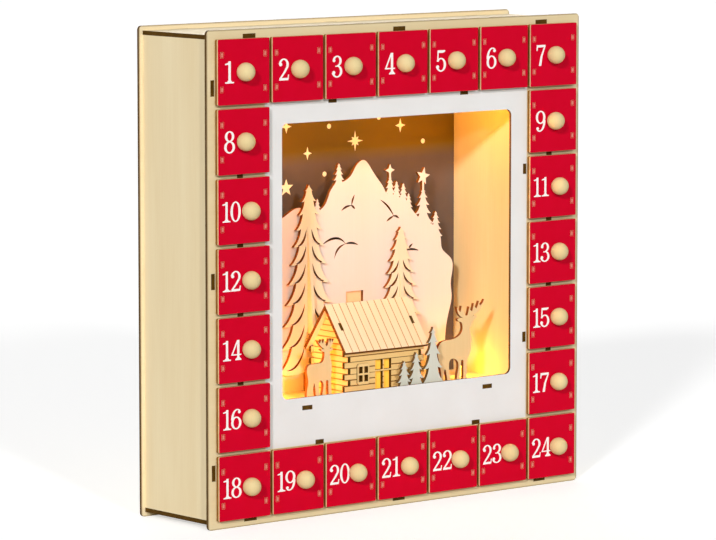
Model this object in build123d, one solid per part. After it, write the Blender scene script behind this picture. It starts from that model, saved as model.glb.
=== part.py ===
from build123d import *
import math
import os

# Wooden advent calendar: a square plywood case with drawers all round a lit winter scene.
# Millimetres. X runs to the right, Y from front to back, Z up. The case stands on Z = 0,
# and the origin is the middle of the whole object's footprint.

# Case
cells = 7                      # cells along each side of the square
cell = 44.2                    # clear width and height of one cell
wall_ply = 3.0                 # walls, shelves and dividers
panel_ply = 2.0                # front and back panels
panel_overhang = 3.3           # panels stand out past the walls
panel_corner = 3.0
inner_depth = 73.0             # between the two panels
kerf = 0.1                     # play on each side of a tab in its slot
overrun = 5.0                  # how far a cutting block runs past what it cuts
wall_tab = 10.8                # tabs of the outer walls
shelf_tab = 7.2                # tabs of the long shelves and inner walls
column_tab = 5.0               # tabs of the short shelves in the columns
wall_tab_shares = (-0.40, 0.0, 0.40)
upper_shelf_tab_shares = (-0.184, 0.184)
lower_shelf_tab_shares = (-0.22, 0.22)
inner_wall_tab_shares = (-0.26, 0.26)

# Window of the scene in the front panel, by the lips left around it
side_lip = 11.5
top_lip = 12.5
bottom_lip = 30.5
window_corner = 4.5

# Drawers
plate_gap = 2.7                # between neighbouring front plates
plate_ply = 3.0
plate_corner = 0.8
plate_standoff = 1.5           # plate clear of the panel when the tray's tail meets the back
opening_lip = 1.5              # panel left round each opening, inside the cell
tray_clear = 0.7               # at each side of the tray in its opening
runner_gap = 0.2               # under the tray
tail_gap = 0.3                 # behind the tray
tray_height = 38.0
tray_ply = 2.6
tray_floor_ply = 2.0
tray_tab = 4.0                 # tabs of the tray sides in the front plate
tray_tab_shares = (-0.263, 0.263)
tray_back_tab = 7.0            # tabs of the tray's back in its sides
tray_back_tab_shares = (-0.25, 0.25)
tray_floor_tab = 12.0          # tabs of the tray's floor in its sides
tray_floor_tab_shares = (-0.25, 0.25)
knob_d = 12.6
knob_flat = 2.0                # cut off the ball where it meets the plate
knob_peg_d = 3.0
knob_peg_clear = 0.1
knob_one_digit = -1.5          # knob's place beside a one-digit number, from the plate's middle
knob_two_digits = 2.75         # knob's place beside a two-digit number

# Scene
scenery_ply = 2.5
floor_rise = 21.8              # space under the scene's floor
floor_tab = 8.8
floor_tab_shares = (-0.356, 0.356)
foot_tab = 6.0                 # tabs of standing scenery in the floor
snowy_gap = 0.8                # snowy pines behind the front panel
eave_gap = 0.8                 # roof behind the snowy pines
roof_back_gap = 1.1            # roof before the big pines
pine_gap = 1.0                 # big pines before the mountain
mountain_back_gap = 2.7        # mountain before the battery box
star_waist_share = 0.42

# Mountain: outline in shares of half the scene's width and of its height
mountain_height = 160.5
mountain_ridge_shares = (
    (-0.905, 0.681), (-0.724, 0.737), (-0.501, 0.772), (-0.377, 0.810), (-0.241, 0.787),
    (-0.164, 0.822), (-0.116, 0.886), (-0.026, 0.911), (0.034, 0.936), (0.078, 0.980),
    (0.130, 1.000), (0.195, 0.958), (0.259, 0.901), (0.291, 0.873), (0.319, 0.843),
    (0.379, 0.830), (0.448, 0.812), (0.500, 0.781), (0.568, 0.731), (0.672, 0.694),
    (0.724, 0.669), (0.757, 0.623), (0.766, 0.578), (0.848, 0.519), (0.856, 0.483),
    (0.840, 0.416), (0.848, 0.357), (0.823, 0.281), (0.793, 0.135), (0.819, 0.0),
)
mountain_foot_shares = (-0.75, -0.2, 0.35, 0.7)
# Small pines on the ridge: place, foot and tip in shares of the mountain
ridge_pine_shares = (
    (-0.232, 0.750, 0.844), (-0.062, 0.880, 0.994), (0.345, 0.800, 0.920), (0.397, 0.790, 0.896),
    (0.452, 0.780, 0.884), (0.494, 0.740, 0.838), (0.613, 0.680, 0.855), (0.716, 0.620, 0.747),
)
ridge_pine_slim_share = 0.32   # half width over height
ridge_pine_tiers = 5
# Stars on pine tips: which pine, middle in shares of the mountain, share of the width, points and tilt
ridge_star_shares = ((2, 0.946, 0.68, 4, 0), (6, 0.908, 1.0, 5, 12))
ridge_star_d = 13.0
star_stem = 1.6
# Birds: tapered lines sawn through the mountain, in shares of the mountain
bird_line = 1.6
bird_shares = (
    ((-0.045, 0.781), (-0.004, 0.798), (0.038, 0.802)),
    ((0.038, 0.802), (0.046, 0.826), (0.062, 0.850)),
    ((0.032, 0.805), (0.048, 0.797), (0.066, 0.785)),
    ((-0.196, 0.636), (-0.132, 0.659), (-0.070, 0.661), (-0.009, 0.632)),
    ((-0.020, 0.633), (0.036, 0.636), (0.092, 0.624)),
    ((-0.009, 0.634), (-0.066, 0.616), (-0.099, 0.570)),
    ((0.264, 0.818), (0.330, 0.783), (0.376, 0.738)),
    ((0.366, 0.741), (0.390, 0.739), (0.420, 0.727)),
    ((0.376, 0.740), (0.348, 0.732), (0.316, 0.718)),
    ((0.466, 0.581), (0.520, 0.584), (0.580, 0.575)),
    ((0.492, 0.582), (0.506, 0.596), (0.530, 0.609)),
)
# Light slot in the mountain behind the roof's ridge
light_slot_width = 16.0
light_slot_height = 8.0
light_slot_share = (0.061, 0.396)

# Big pines: place across the scene, height and half width at the lowest branches
left_pine_share = -0.322
left_pine_height = 146.5
left_pine_reach = 27.0
right_pine_share = 0.407
right_pine_height = 111.0
right_pine_reach = 25.0
pine_tiers = 11
pine_growth_share = 1.4        # power by which branches lie further apart downwards
pine_flare_share = 0.6         # power by which branches widen downwards
pine_notch_share = 0.62        # how far out a notch between branches lies, of the branch above it
small_notch_share = 0.48       # the same for the pines on the ridge and the snowy ones
pine_rise_share = 0.10         # how far a notch lies above a branch's tip, of the drop to that tip
pine_hollow_share = 0.10       # sag of a branch's edges, of their length
pine_trunk = 6.0
pine_foot_share = 0.10         # bare trunk, of the height
pine_spine = 6.4               # rib that stands out of the front of a big pine's trunk
pine_spine_top_share = 0.80
pine_slit = 1.6                # tapered lines sawn between branches
pine_slit_first = 3            # first branch with such a line
pine_slit_shares = ((0.17, 1.05), (0.30, 0.50), (0.56, 0.14), (0.76, 0.10))

# Snowy pines: place from the scene's middle, height and half width, all in one plate
snowy_pine_shares = ((0.295, 0.279, 0.088), (0.160, 0.174, 0.072), (0.064, 0.142, 0.064))
snowy_tiers = 5
snowy_rail = 3.0               # strip along the floor that joins them
snowy_foot_shares = (0.12, 0.27)

# Cabin
roof_left_share = -0.371       # left edge of the roof, of half the scene's width
roof_length = 76.5
ridge_height = 64.1            # above the floor
eave_height = 32.3
gable_inset = 4.5              # roof past the gables
eave_overhang = 3.5            # roof past the long walls
log_courses = 8
log_end = 2.8                  # long walls' logs past the gables
roof_tab = 6.0
roof_tab_share = 0.47          # tab's place down the slope
pane_width = 3.6               # one opening of the two-by-two window
pane_height = 4.6
pane_bar = 1.4
pane_share = (0.21, 0.48)      # window's middle along and up the front wall
door_width = 14.6
door_height = 22.0
door_share = 0.50              # door's middle along the front wall
door_sill = 2.6
door_bar = 1.0
cabin_foot_shares = (0.2, 0.8)

# Deer: smooth runs of an outline, one after the other, in shares of its length and height.
# The right deer looks to the side; the left one looks to the front, with its antlers spread.
right_deer_length = 43.8
left_deer_length = 24.5
right_deer_height = 59.5
left_deer_height = 42.5
right_deer_share = 0.40        # rump's place, of half the scene's width
left_deer_share = -0.617
right_deer_setback = 10.0      # behind the front panel
left_deer_setback = 12.0
right_deer_rear_shares = (
    ((0.033, 0.000), (0.067, 0.175), (0.011, 0.345), (0.000, 0.458), (0.078, 0.530), (0.233, 0.548),
     (0.411, 0.572), (0.500, 0.615), (0.533, 0.690), (0.500, 0.752)),
    ((0.500, 0.752), (0.455, 0.758), (0.415, 0.790)),
    ((0.415, 0.790), (0.478, 0.800), (0.544, 0.796)),
)
right_deer_antler_shares = (
    ((0.544, 0.796), (0.462, 0.836), (0.408, 0.938)),
    ((0.408, 0.938), (0.452, 0.890), (0.487, 0.870)),
    ((0.487, 0.870), (0.502, 0.905), (0.512, 0.944)),
    ((0.512, 0.944), (0.538, 0.892), (0.570, 0.846)),
    ((0.570, 0.846), (0.602, 0.822), (0.640, 0.826)),
    ((0.640, 0.826), (0.661, 0.873), (0.676, 0.926)),
    ((0.676, 0.926), (0.706, 0.882), (0.738, 0.866)),
    ((0.738, 0.866), (0.760, 0.911), (0.776, 0.962)),
    ((0.776, 0.962), (0.800, 0.916), (0.834, 0.896)),
    ((0.834, 0.896), (0.863, 0.937), (0.886, 0.984)),
    ((0.886, 0.984), (0.896, 0.946), (0.914, 0.926)),
    ((0.914, 0.926), (0.956, 0.950), (1.000, 1.000)),
    ((1.000, 1.000), (0.964, 0.924), (0.878, 0.862), (0.744, 0.806)),
)
right_deer_fore_shares = (
    ((0.744, 0.806), (0.800, 0.812), (0.846, 0.804)),
    ((0.846, 0.804), (0.800, 0.770), (0.745, 0.756)),
    ((0.745, 0.756), (0.732, 0.706), (0.690, 0.660), (0.712, 0.590), (0.722, 0.472), (0.689, 0.350),
     (0.644, 0.290), (0.626, 0.145), (0.622, 0.000)),
    ((0.622, 0.000), (0.556, 0.000)),
    ((0.556, 0.000), (0.552, 0.145), (0.553, 0.280)),
    ((0.553, 0.280), (0.527, 0.292), (0.502, 0.280)),
    ((0.502, 0.280), (0.486, 0.145), (0.478, 0.000)),
    ((0.478, 0.000), (0.416, 0.000)),
    ((0.416, 0.000), (0.428, 0.145), (0.420, 0.286), (0.278, 0.312), (0.242, 0.206), (0.266, 0.103),
     (0.278, 0.000)),
    ((0.278, 0.000), (0.211, 0.000)),
    ((0.211, 0.000), (0.196, 0.110), (0.155, 0.200), (0.124, 0.110), (0.111, 0.000)),
    ((0.111, 0.000), (0.033, 0.000)),
)
right_deer_foot_shares = ((0.033, 0.111), (0.556, 0.622))
left_deer_rear_shares = (
    ((0.030, 0.000), (0.005, 0.167), (0.050, 0.345), (0.000, 0.490), (0.055, 0.585), (0.220, 0.605),
     (0.420, 0.608), (0.570, 0.625), (0.635, 0.700), (0.640, 0.790)),
    ((0.640, 0.790), (0.570, 0.800), (0.500, 0.838)),
    ((0.500, 0.838), (0.575, 0.837), (0.648, 0.832)),
)
left_deer_antler_shares = (
    ((0.648, 0.832), (0.505, 0.892), (0.390, 0.985)),
    ((0.390, 0.985), (0.440, 0.950), (0.475, 0.934)),
    ((0.475, 0.934), (0.505, 0.962), (0.530, 0.998)),
    ((0.530, 0.998), (0.555, 0.960), (0.585, 0.924)),
    ((0.585, 0.924), (0.612, 0.962), (0.635, 1.000)),
    ((0.635, 1.000), (0.660, 0.946), (0.700, 0.890)),
    ((0.700, 0.890), (0.730, 0.882), (0.760, 0.890)),
    ((0.760, 0.890), (0.792, 0.946), (0.815, 1.000)),
    ((0.815, 1.000), (0.830, 0.960), (0.850, 0.924)),
    ((0.850, 0.924), (0.880, 0.962), (0.905, 0.998)),
    ((0.905, 0.998), (0.916, 0.964), (0.930, 0.936)),
    ((0.930, 0.936), (0.964, 0.956), (1.000, 0.988)),
    ((1.000, 0.988), (0.925, 0.900), (0.838, 0.832)),
)
left_deer_fore_shares = (
    ((0.838, 0.832), (0.900, 0.838), (0.965, 0.836)),
    ((0.965, 0.836), (0.910, 0.800), (0.845, 0.790)),
    ((0.845, 0.790), (0.862, 0.690), (0.905, 0.580), (0.900, 0.430), (0.885, 0.300), (0.900, 0.150),
     (0.915, 0.000)),
    ((0.915, 0.000), (0.800, 0.000)),
    ((0.800, 0.000), (0.790, 0.150), (0.785, 0.300)),
    ((0.785, 0.300), (0.742, 0.318), (0.700, 0.300)),
    ((0.700, 0.300), (0.685, 0.150), (0.680, 0.000)),
    ((0.680, 0.000), (0.580, 0.000)),
    ((0.580, 0.000), (0.588, 0.150), (0.570, 0.300), (0.510, 0.322), (0.452, 0.290), (0.458, 0.140),
     (0.465, 0.000)),
    ((0.465, 0.000), (0.345, 0.000)),
    ((0.345, 0.000), (0.318, 0.140), (0.268, 0.290), (0.215, 0.140), (0.185, 0.000)),
    ((0.185, 0.000), (0.030, 0.000)),
)
left_deer_foot_shares = ((0.030, 0.185), (0.800, 0.915))

# Battery box for two small cells, behind the mountain
battery_d = 10.5
battery_length = 44.5
battery_gap = 0.4
contact_ply = 0.5
contact_side = 8.0
box_wall = 1.5
box_flange = 3.0
box_flange_ply = 1.2
box_share = -0.43              # box's middle across the scene
box_rise = 45.0                # box's middle above the floor
cover_gap = 0.3
thumb_notch_d = 9.0
thumb_notch_depth = 1.0

# Slide switch beside the battery box
slider_width = 5.0
slider_height = 3.6
slider_travel = 4.0
slider_gap = 0.3
slider_length = 6.0
slider_recess = 0.4            # slider's end below the back panel's rear face
switch_wall = 1.4

# Lamps and their wire
lamp_d = 5.0
lamp_body = 5.0
lamp_flange_d = 5.8
lamp_flange = 1.0
lamp_stub_d = 3.0
lamp_stub_clear = 0.2
top_lamp_shares = (-0.52, 0.52)
top_lamp_drop = 8.0            # below the upper shelf
floor_lamp_shares = ((0.84, 0.60), (-0.04, 0.40), (-0.78, 0.58))
wire_d = 1.4
wire_clear = 0.2
wire_bend = 6.0
wire_slot = 3.0
wire_back_gap = 3.0            # wire's middle before the back panel
wire_drop_share = 0.76         # where the wire goes down through the floor
wire_corner = 5.6              # wire's middle from the corner of the scene

# Places that follow from the sizes above
pitch = cell + wall_ply
panel_side = cells * pitch + wall_ply + 2 * panel_overhang
half_side = panel_side / 2
wall_outer = half_side - panel_overhang
wall_inner = wall_outer - wall_ply
plate_side = pitch - plate_gap
opening = cell - 2 * opening_lip
tray_width = opening - 2 * tray_clear
knob_height = knob_d - knob_flat
front_reach = plate_standoff + plate_ply + knob_height
case_depth = inner_depth + 2 * panel_ply

face_y = front_reach - (front_reach + case_depth) / 2
in_y = face_y + panel_ply
out_y = in_y + inner_depth
rear_y = out_y + panel_ply

scene_half = wall_inner - pitch
scene_low = panel_overhang + wall_ply + pitch
scene_high = panel_side - scene_low
floor_low = scene_low + floor_rise
floor_top = floor_low + wall_ply
window_half = scene_half - side_lip
window_low = scene_low + bottom_lip
window_high = scene_high - top_lip

box_inner_width = battery_length + 2 * (contact_ply + battery_gap)
box_inner_height = 2 * battery_d + 3 * battery_gap
box_inner_depth = battery_d + 2 * battery_gap
box_depth = box_inner_depth + box_wall
box_x = box_share * scene_half
box_z = floor_top + box_rise
slot_width = slider_width + slider_travel + 2 * slider_gap
slot_height = slider_height + 2 * slider_gap
switch_right = box_x - box_inner_width / 2 - box_wall
switch_left = switch_right - slot_width - 2 * switch_wall

mountain_y = out_y - box_depth - mountain_back_gap - scenery_ply
pine_y = mountain_y - pine_gap - scenery_ply
snowy_y = in_y + snowy_gap
roof_front = snowy_y + scenery_ply + eave_gap
roof_back = pine_y - roof_back_gap
roof_middle = (roof_front + roof_back) / 2
roof_run = (roof_back - roof_front) / 2
roof_rise = ridge_height - eave_height
roof_slope = math.hypot(roof_run, roof_rise)
roof_upright = scenery_ply * roof_slope / roof_run
roof_left = roof_left_share * scene_half
left_gable_x = roof_left + gable_inset
right_gable_x = roof_left + roof_length - gable_inset - scenery_ply
front_wall_y = roof_front + eave_overhang
back_wall_y = roof_back - eave_overhang - scenery_ply
right_deer_y = in_y + right_deer_setback
left_deer_y = in_y + left_deer_setback
wire_under = floor_low - wire_bend - wire_d / 2


def cell_x(column):
    """Left side of a column of cells."""
    return column * pitch - wall_inner


def cell_z(row):
    """Lower side of a row of cells, counted from the bottom."""
    return panel_overhang + wall_ply + row * pitch


def block(x0, x1, y0, y1, z0, z1):
    """Box between two corners."""
    middle = Pos((x0 + x1) / 2, (y0 + y1) / 2, (z0 + z1) / 2)
    return middle * Box(x1 - x0, y1 - y0, z1 - z0)


def front_plate(face, y, thickness):
    """Plate that faces the front: a flat shape drawn in X and Z, with its front at y."""
    return extrude(Plane(origin=(0, y + thickness, 0), x_dir=(1, 0, 0), z_dir=(0, -1, 0)) * face, thickness)


def side_plate(face, x, thickness):
    """Plate that faces the side: a flat shape drawn in Y and Z, with its left side at x."""
    return extrude(Plane(origin=(x, 0, 0), x_dir=(0, 1, 0), z_dir=(1, 0, 0)) * face, thickness)


def outline(points):
    """Flat shape inside a closed row of points."""
    return make_face(Polyline(*points, close=True))


def smooth(points):
    """Line through two points, or a smooth curve through more."""
    return Line(*points) if len(points) == 2 else Spline(*points)


def bow(start, end, sag_share):
    """Arc between two points that sags to the right of its way by a share of its length."""
    chord = Vector(*end) - Vector(*start)
    middle = (Vector(*start) + Vector(*end)) / 2
    sag = Vector(chord.Y, -chord.X) * sag_share
    return ThreePointArc(start, middle + sag, end)


def sawn_line(points, width):
    """Shape of a sawn line along a smooth curve, tapered to a point at both ends."""
    first = Vector(*points[0])
    last = Vector(*points[-1])
    left = []
    right = []
    for before, at, after in zip(points, points[1:], points[2:]):
        along = (Vector(*after) - Vector(*before)).normalized()
        across = Vector(-along.Y, along.X) * (width / 2)
        left.append(Vector(*at) + across)
        right.append(Vector(*at) - across)
    return make_face([Spline(first, *left, last), Spline(last, *reversed(right), first)])


def level_tabs(z, length, board, shares):
    """Tabs along a level board, as spans in X and Z."""
    return [(s * board - length / 2, s * board + length / 2, z, z + wall_ply) for s in shares]


def upright_tabs(x, length, low, high, shares):
    """Tabs along an upright board, as spans in X and Z."""
    middle = (low + high) / 2
    places = [middle + s * (high - low) for s in shares]
    return [(x, x + wall_ply, p - length / 2, p + length / 2) for p in places]


def column_tabs(row, side):
    """The one tab of a short shelf under a row, in the left (-1) or right (1) column."""
    middle = side * (wall_inner - cell / 2)
    top = cell_z(row)
    return [(middle - column_tab / 2, middle + column_tab / 2, top - wall_ply, top)]


column_rows = range(2, cells - 1)
board_tabs = {
    "top_wall": level_tabs(panel_side - panel_overhang - wall_ply, wall_tab, 2 * wall_outer, wall_tab_shares),
    "bottom_wall": level_tabs(panel_overhang, wall_tab, 2 * wall_outer, wall_tab_shares),
    "left_wall": upright_tabs(-wall_outer, wall_tab, cell_z(0), cell_z(cells) - wall_ply, wall_tab_shares),
    "right_wall": upright_tabs(wall_inner, wall_tab, cell_z(0), cell_z(cells) - wall_ply, wall_tab_shares),
    "upper_shelf": level_tabs(scene_high, shelf_tab, 2 * wall_inner, upper_shelf_tab_shares),
    "lower_shelf": level_tabs(scene_low - wall_ply, shelf_tab, 2 * wall_inner, lower_shelf_tab_shares),
    "inner_left_wall": upright_tabs(-scene_half - wall_ply, shelf_tab, scene_low, scene_high,
                                    inner_wall_tab_shares),
    "inner_right_wall": upright_tabs(scene_half, shelf_tab, scene_low, scene_high, inner_wall_tab_shares),
    "left_column_shelves": [t for row in column_rows for t in column_tabs(row, -1)],
    "right_column_shelves": [t for row in column_rows for t in column_tabs(row, 1)],
    "scene_floor": level_tabs(floor_low, floor_tab, 2 * scene_half, floor_tab_shares),
}


def board(x0, x1, z0, z1, tabs):
    """Board between the panels, with tabs that run through both of them."""
    solid = block(x0, x1, in_y, out_y, z0, z1)
    for tx0, tx1, tz0, tz1 in tabs:
        solid += block(tx0, tx1, face_y, rear_y, tz0, tz1)
    return solid


def panel(y):
    """Square sheet with a slot for every tab of the boards."""
    middle = Pos(0, half_side) * RectangleRounded(panel_side, panel_side, panel_corner)
    solid = front_plate(middle, y, panel_ply)
    for tabs in board_tabs.values():
        for x0, x1, z0, z1 in tabs:
            solid -= block(x0 - kerf, x1 + kerf, y - overrun, y + overrun, z0 - kerf, z1 + kerf)
    return solid


def front_panel():
    """Front sheet, open at the window and behind each drawer."""
    width = 2 * window_half
    height = window_high - window_low
    window = Pos(0, (window_low + window_high) / 2) * RectangleRounded(width, height, window_corner)
    solid = panel(face_y) - front_plate(window, face_y - overrun, panel_ply + 2 * overrun)
    for column, row in drawer_cells.values():
        x = cell_x(column) + opening_lip
        z = cell_z(row) + opening_lip
        solid -= block(x, x + opening, face_y - overrun, in_y + overrun, z, z + opening)
    return solid


def back_panel():
    """Rear sheet, open at the battery box and at the switch."""
    hole_x = box_inner_width / 2
    hole_z = box_inner_height / 2
    middle = (switch_left + switch_right) / 2
    solid = panel(out_y)
    solid -= block(box_x - hole_x, box_x + hole_x, out_y - overrun, rear_y + overrun,
                   box_z - hole_z, box_z + hole_z)
    solid -= block(middle - slot_width / 2, middle + slot_width / 2, out_y - overrun, rear_y + overrun,
                   box_z - slot_height / 2, box_z + slot_height / 2)
    return solid


def row_dividers(row):
    """Upright dividers between the drawers of a full row."""
    low = cell_z(row)
    return [block(cell_x(c) - wall_ply, cell_x(c), in_y, out_y, low, low + cell) for c in range(1, cells)]


def column_shelves(side):
    """Short shelves between the drawers of a column, left (-1) or right (1)."""
    edges = sorted((side * wall_inner, side * (wall_inner - cell)))
    return [board(*edges, cell_z(row) - wall_ply, cell_z(row), column_tabs(row, side)) for row in column_rows]


def case_boards():
    """Walls, shelves and inner walls, by name."""
    low = cell_z(0)
    high = cell_z(cells) - wall_ply
    spans = {
        "top_wall": (-wall_outer, wall_outer, high, high + wall_ply),
        "bottom_wall": (-wall_outer, wall_outer, panel_overhang, low),
        "left_wall": (-wall_outer, -wall_inner, low, high),
        "right_wall": (wall_inner, wall_outer, low, high),
        "upper_shelf": (-wall_inner, wall_inner, scene_high, scene_high + wall_ply),
        "lower_shelf": (-wall_inner, wall_inner, scene_low - wall_ply, scene_low),
        "inner_left_wall": (-scene_half - wall_ply, -scene_half, scene_low, scene_high),
        "inner_right_wall": (scene_half, scene_half + wall_ply, scene_low, scene_high),
    }
    return {name: [board(*span, board_tabs[name])] for name, span in spans.items()}


def drawer_places():
    """Column and row of each numbered drawer: top row, then left and right by turns, then bottom row."""
    places = {number: (number - 1, cells - 1) for number in range(1, cells + 1)}
    number = cells
    for row in range(cells - 2, 0, -1):
        for column in (0, cells - 1):
            number += 1
            places[number] = (column, row)
    for column in range(cells):
        number += 1
        places[number] = (column, 0)
    return places


drawer_cells = drawer_places()


def knob():
    """Ball knob, flat where it meets the plate, with a peg; its axis runs to the front."""
    ball = Pos(0, -knob_d / 2 + knob_flat, 0) * Sphere(knob_d / 2)
    ball -= block(-knob_d, knob_d, 0, knob_d, -knob_d, knob_d)
    peg = Pos(0, plate_ply / 2, 0) * Rot(90, 0, 0) * Cylinder(knob_peg_d / 2, plate_ply)
    return ball + peg


def drawer_tray():
    """Tray of a drawer about X = 0, Z = 0: two sides, back and floor, with tabs through the sides."""
    plate_back = face_y - plate_standoff
    tail = out_y - tail_gap
    low = runner_gap - opening / 2
    high = low + tray_height
    half = tray_width / 2
    inner = half - tray_ply
    back = block(-inner, inner, tail - tray_ply, tail, low, high)
    floor = block(-inner, inner, plate_back, tail - tray_ply, low, low + tray_floor_ply)
    sides = []
    for x0, x1 in ((-half, -inner), (inner, half)):
        side = block(x0, x1, plate_back, tail, low, high)
        for share in tray_tab_shares:
            z = share * plate_side
            side += block(x0, x1, plate_back - plate_ply, plate_back, z - tray_tab / 2, z + tray_tab / 2)
        for share in tray_back_tab_shares:
            z = (low + high) / 2 + share * tray_height
            tab = block(x0, x1, tail - tray_ply, tail, z - tray_back_tab / 2, z + tray_back_tab / 2)
            side -= tab
            back += tab
        for share in tray_floor_tab_shares:
            y = (plate_back + tail) / 2 + share * (tail - plate_back)
            tab = block(x0, x1, y - tray_floor_tab / 2, y + tray_floor_tab / 2, low, low + tray_floor_ply)
            side -= tab
            floor += tab
        sides.append(side)
    return [*sides, back, floor]


def drawer_front(knob_x):
    """Front plate about X = 0, Z = 0, with slots for the tray's tabs, and its knob."""
    plate_y = face_y - plate_standoff - plate_ply
    plate = front_plate(RectangleRounded(plate_side, plate_side, plate_corner), plate_y, plate_ply)
    peg_hole = Rot(90, 0, 0) * Cylinder(knob_peg_d / 2 + knob_peg_clear, overrun * 2)
    plate -= Pos(knob_x, plate_y, 0) * peg_hole
    for x0 in (-tray_width / 2, tray_width / 2 - tray_ply):
        for share in tray_tab_shares:
            z = share * plate_side
            plate -= block(x0, x0 + tray_ply, plate_y, plate_y + plate_ply, z - tray_tab / 2, z + tray_tab / 2)
    return [plate, Pos(knob_x, plate_y, 0) * knob()]


def drawers():
    """All drawers in their cells, by name."""
    tray = drawer_tray()
    one_digit = drawer_front(knob_one_digit)
    two_digits = drawer_front(knob_two_digits)
    nodes = {}
    for number, (column, row) in drawer_cells.items():
        front = one_digit if number < 10 else two_digits
        place = Pos(cell_x(column) + cell / 2, 0, cell_z(row) + cell / 2)
        nodes[f"drawer_{number:02d}"] = [place * solid for solid in (*front, *tray)]
    return nodes


def feet_of(left, width, shares, y):
    """Foot tabs of a front-facing plate, as spans in X and Y."""
    places = [left + share * width for share in shares]
    return [(p - foot_tab / 2, p + foot_tab / 2, y, y + scenery_ply) for p in places]


def gable_feet(x):
    """Foot tabs of a gable, as spans in X and Y."""
    depth = back_wall_y - front_wall_y
    places = [front_wall_y + share * depth for share in cabin_foot_shares]
    return [(x, x + scenery_ply, p - foot_tab / 2, p + foot_tab / 2) for p in places]


def deer_feet(left, length, y, shares):
    """Foot tabs of a deer: two of its legs run on through the floor."""
    return [(left + a * length, left + b * length, y, y + scenery_ply) for a, b in shares]


left_pine_x = left_pine_share * scene_half
right_pine_x = right_pine_share * scene_half
cabin_length = right_gable_x - left_gable_x
feet = {
    "mountain": feet_of(0, scene_half, mountain_foot_shares, mountain_y),
    "left_pine": feet_of(left_pine_x, 0, (0,), pine_y),
    "right_pine": feet_of(right_pine_x, 0, (0,), pine_y),
    "snowy_pines": feet_of(0, scene_half, snowy_foot_shares, snowy_y),
    "cabin_front_wall": feet_of(left_gable_x, cabin_length, cabin_foot_shares, front_wall_y),
    "cabin_back_wall": feet_of(left_gable_x, cabin_length, cabin_foot_shares, back_wall_y),
    "cabin_left_gable": gable_feet(left_gable_x),
    "cabin_right_gable": gable_feet(right_gable_x),
    "left_deer": deer_feet(left_deer_share * scene_half, left_deer_length, left_deer_y,
                           left_deer_foot_shares),
    "right_deer": deer_feet(right_deer_share * scene_half, right_deer_length, right_deer_y,
                            right_deer_foot_shares),
}


def stand(solid, name):
    """Scenery with its foot tabs, which run down through the floor."""
    for x0, x1, y0, y1 in feet[name]:
        solid += block(x0, x1, y0, y1, floor_low, floor_top + overrun / 2)
    return solid


def pine_tips(height, reach, tiers):
    """Tips of a pine's branches on its right side, from the top down, as places from its foot."""
    crown = height * (1 - pine_foot_share)
    drops = [(tier / tiers) ** pine_growth_share for tier in range(1, tiers + 1)]
    return [(reach * drop ** pine_flare_share, height - crown * drop) for drop in drops]


def pine(x, foot, height, reach, tiers, trunk, notch_share):
    """Flat shape of a pine: drooping branches that widen downwards, on a short bare trunk."""
    tips = pine_tips(height, reach, tiers)
    right = [(0, height)]
    above = height
    for tip, z in tips[:-1]:
        right.append((tip, z))
        right.append((tip * notch_share, z + (above - z) * pine_rise_share))
        above = z
    right.append(tips[-1])
    right.append((trunk / 2, height * pine_foot_share))
    left = [(-px, pz) for px, pz in reversed(right)]
    right = [(x + px, foot + pz) for px, pz in right]
    left = [(x + px, foot + pz) for px, pz in left]
    edges = []
    for side, sag in ((right, pine_hollow_share), (left, -pine_hollow_share)):
        for a, b in zip(side, side[1:]):
            edges.append(bow(a, b, sag))
            sag = -sag
    trunk_right = (x + trunk / 2, foot)
    trunk_left = (x - trunk / 2, foot)
    edges += [Line(right[-1], trunk_right), Line(trunk_right, trunk_left), Line(trunk_left, left[0])]
    return make_face(edges)


def star(x, z, diameter, rays, tilt):
    """Pointed star, tilted to the right by some degrees."""
    points = []
    for i in range(2 * rays):
        radius = diameter / 2 * (1 if i % 2 == 0 else star_waist_share)
        angle = math.pi * i / rays + math.radians(tilt)
        points.append((x + radius * math.sin(angle), z + radius * math.cos(angle)))
    return outline(points)


def mountain_point(share):
    """Place on the mountain's face."""
    return (share[0] * scene_half, floor_top + share[1] * mountain_height)


def mountain():
    """Mountain with small pines and stars on its ridge, sawn birds and a light slot."""
    ridge = [mountain_point(s) for s in mountain_ridge_shares]
    corner = mountain_point((mountain_ridge_shares[0][0], 0))
    face = make_face([Spline(*ridge), Line(ridge[-1], corner), Line(corner, ridge[0])])
    for x_share, low_share, high_share in ridge_pine_shares:
        x, low = mountain_point((x_share, low_share))
        height = mountain_point((x_share, high_share))[1] - low
        reach = height * ridge_pine_slim_share
        face += pine(x, low, height, reach, ridge_pine_tiers, reach, small_notch_share)
    for index, middle_share, width_share, rays, tilt in ridge_star_shares:
        x_share, low_share, _ = ridge_pine_shares[index]
        x, low = mountain_point((x_share, low_share))
        z = mountain_point((x_share, middle_share))[1]
        face += star(x, z, ridge_star_d * width_share, rays, tilt)
        face += Pos(x, (low + z) / 2) * Rectangle(star_stem, z - low)
    for shares in bird_shares:
        face -= sawn_line([mountain_point(s) for s in shares], bird_line)
    face -= Pos(*mountain_point(light_slot_share)) * Rectangle(light_slot_width, light_slot_height)
    return stand(front_plate(face, mountain_y, scenery_ply), "mountain")


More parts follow.
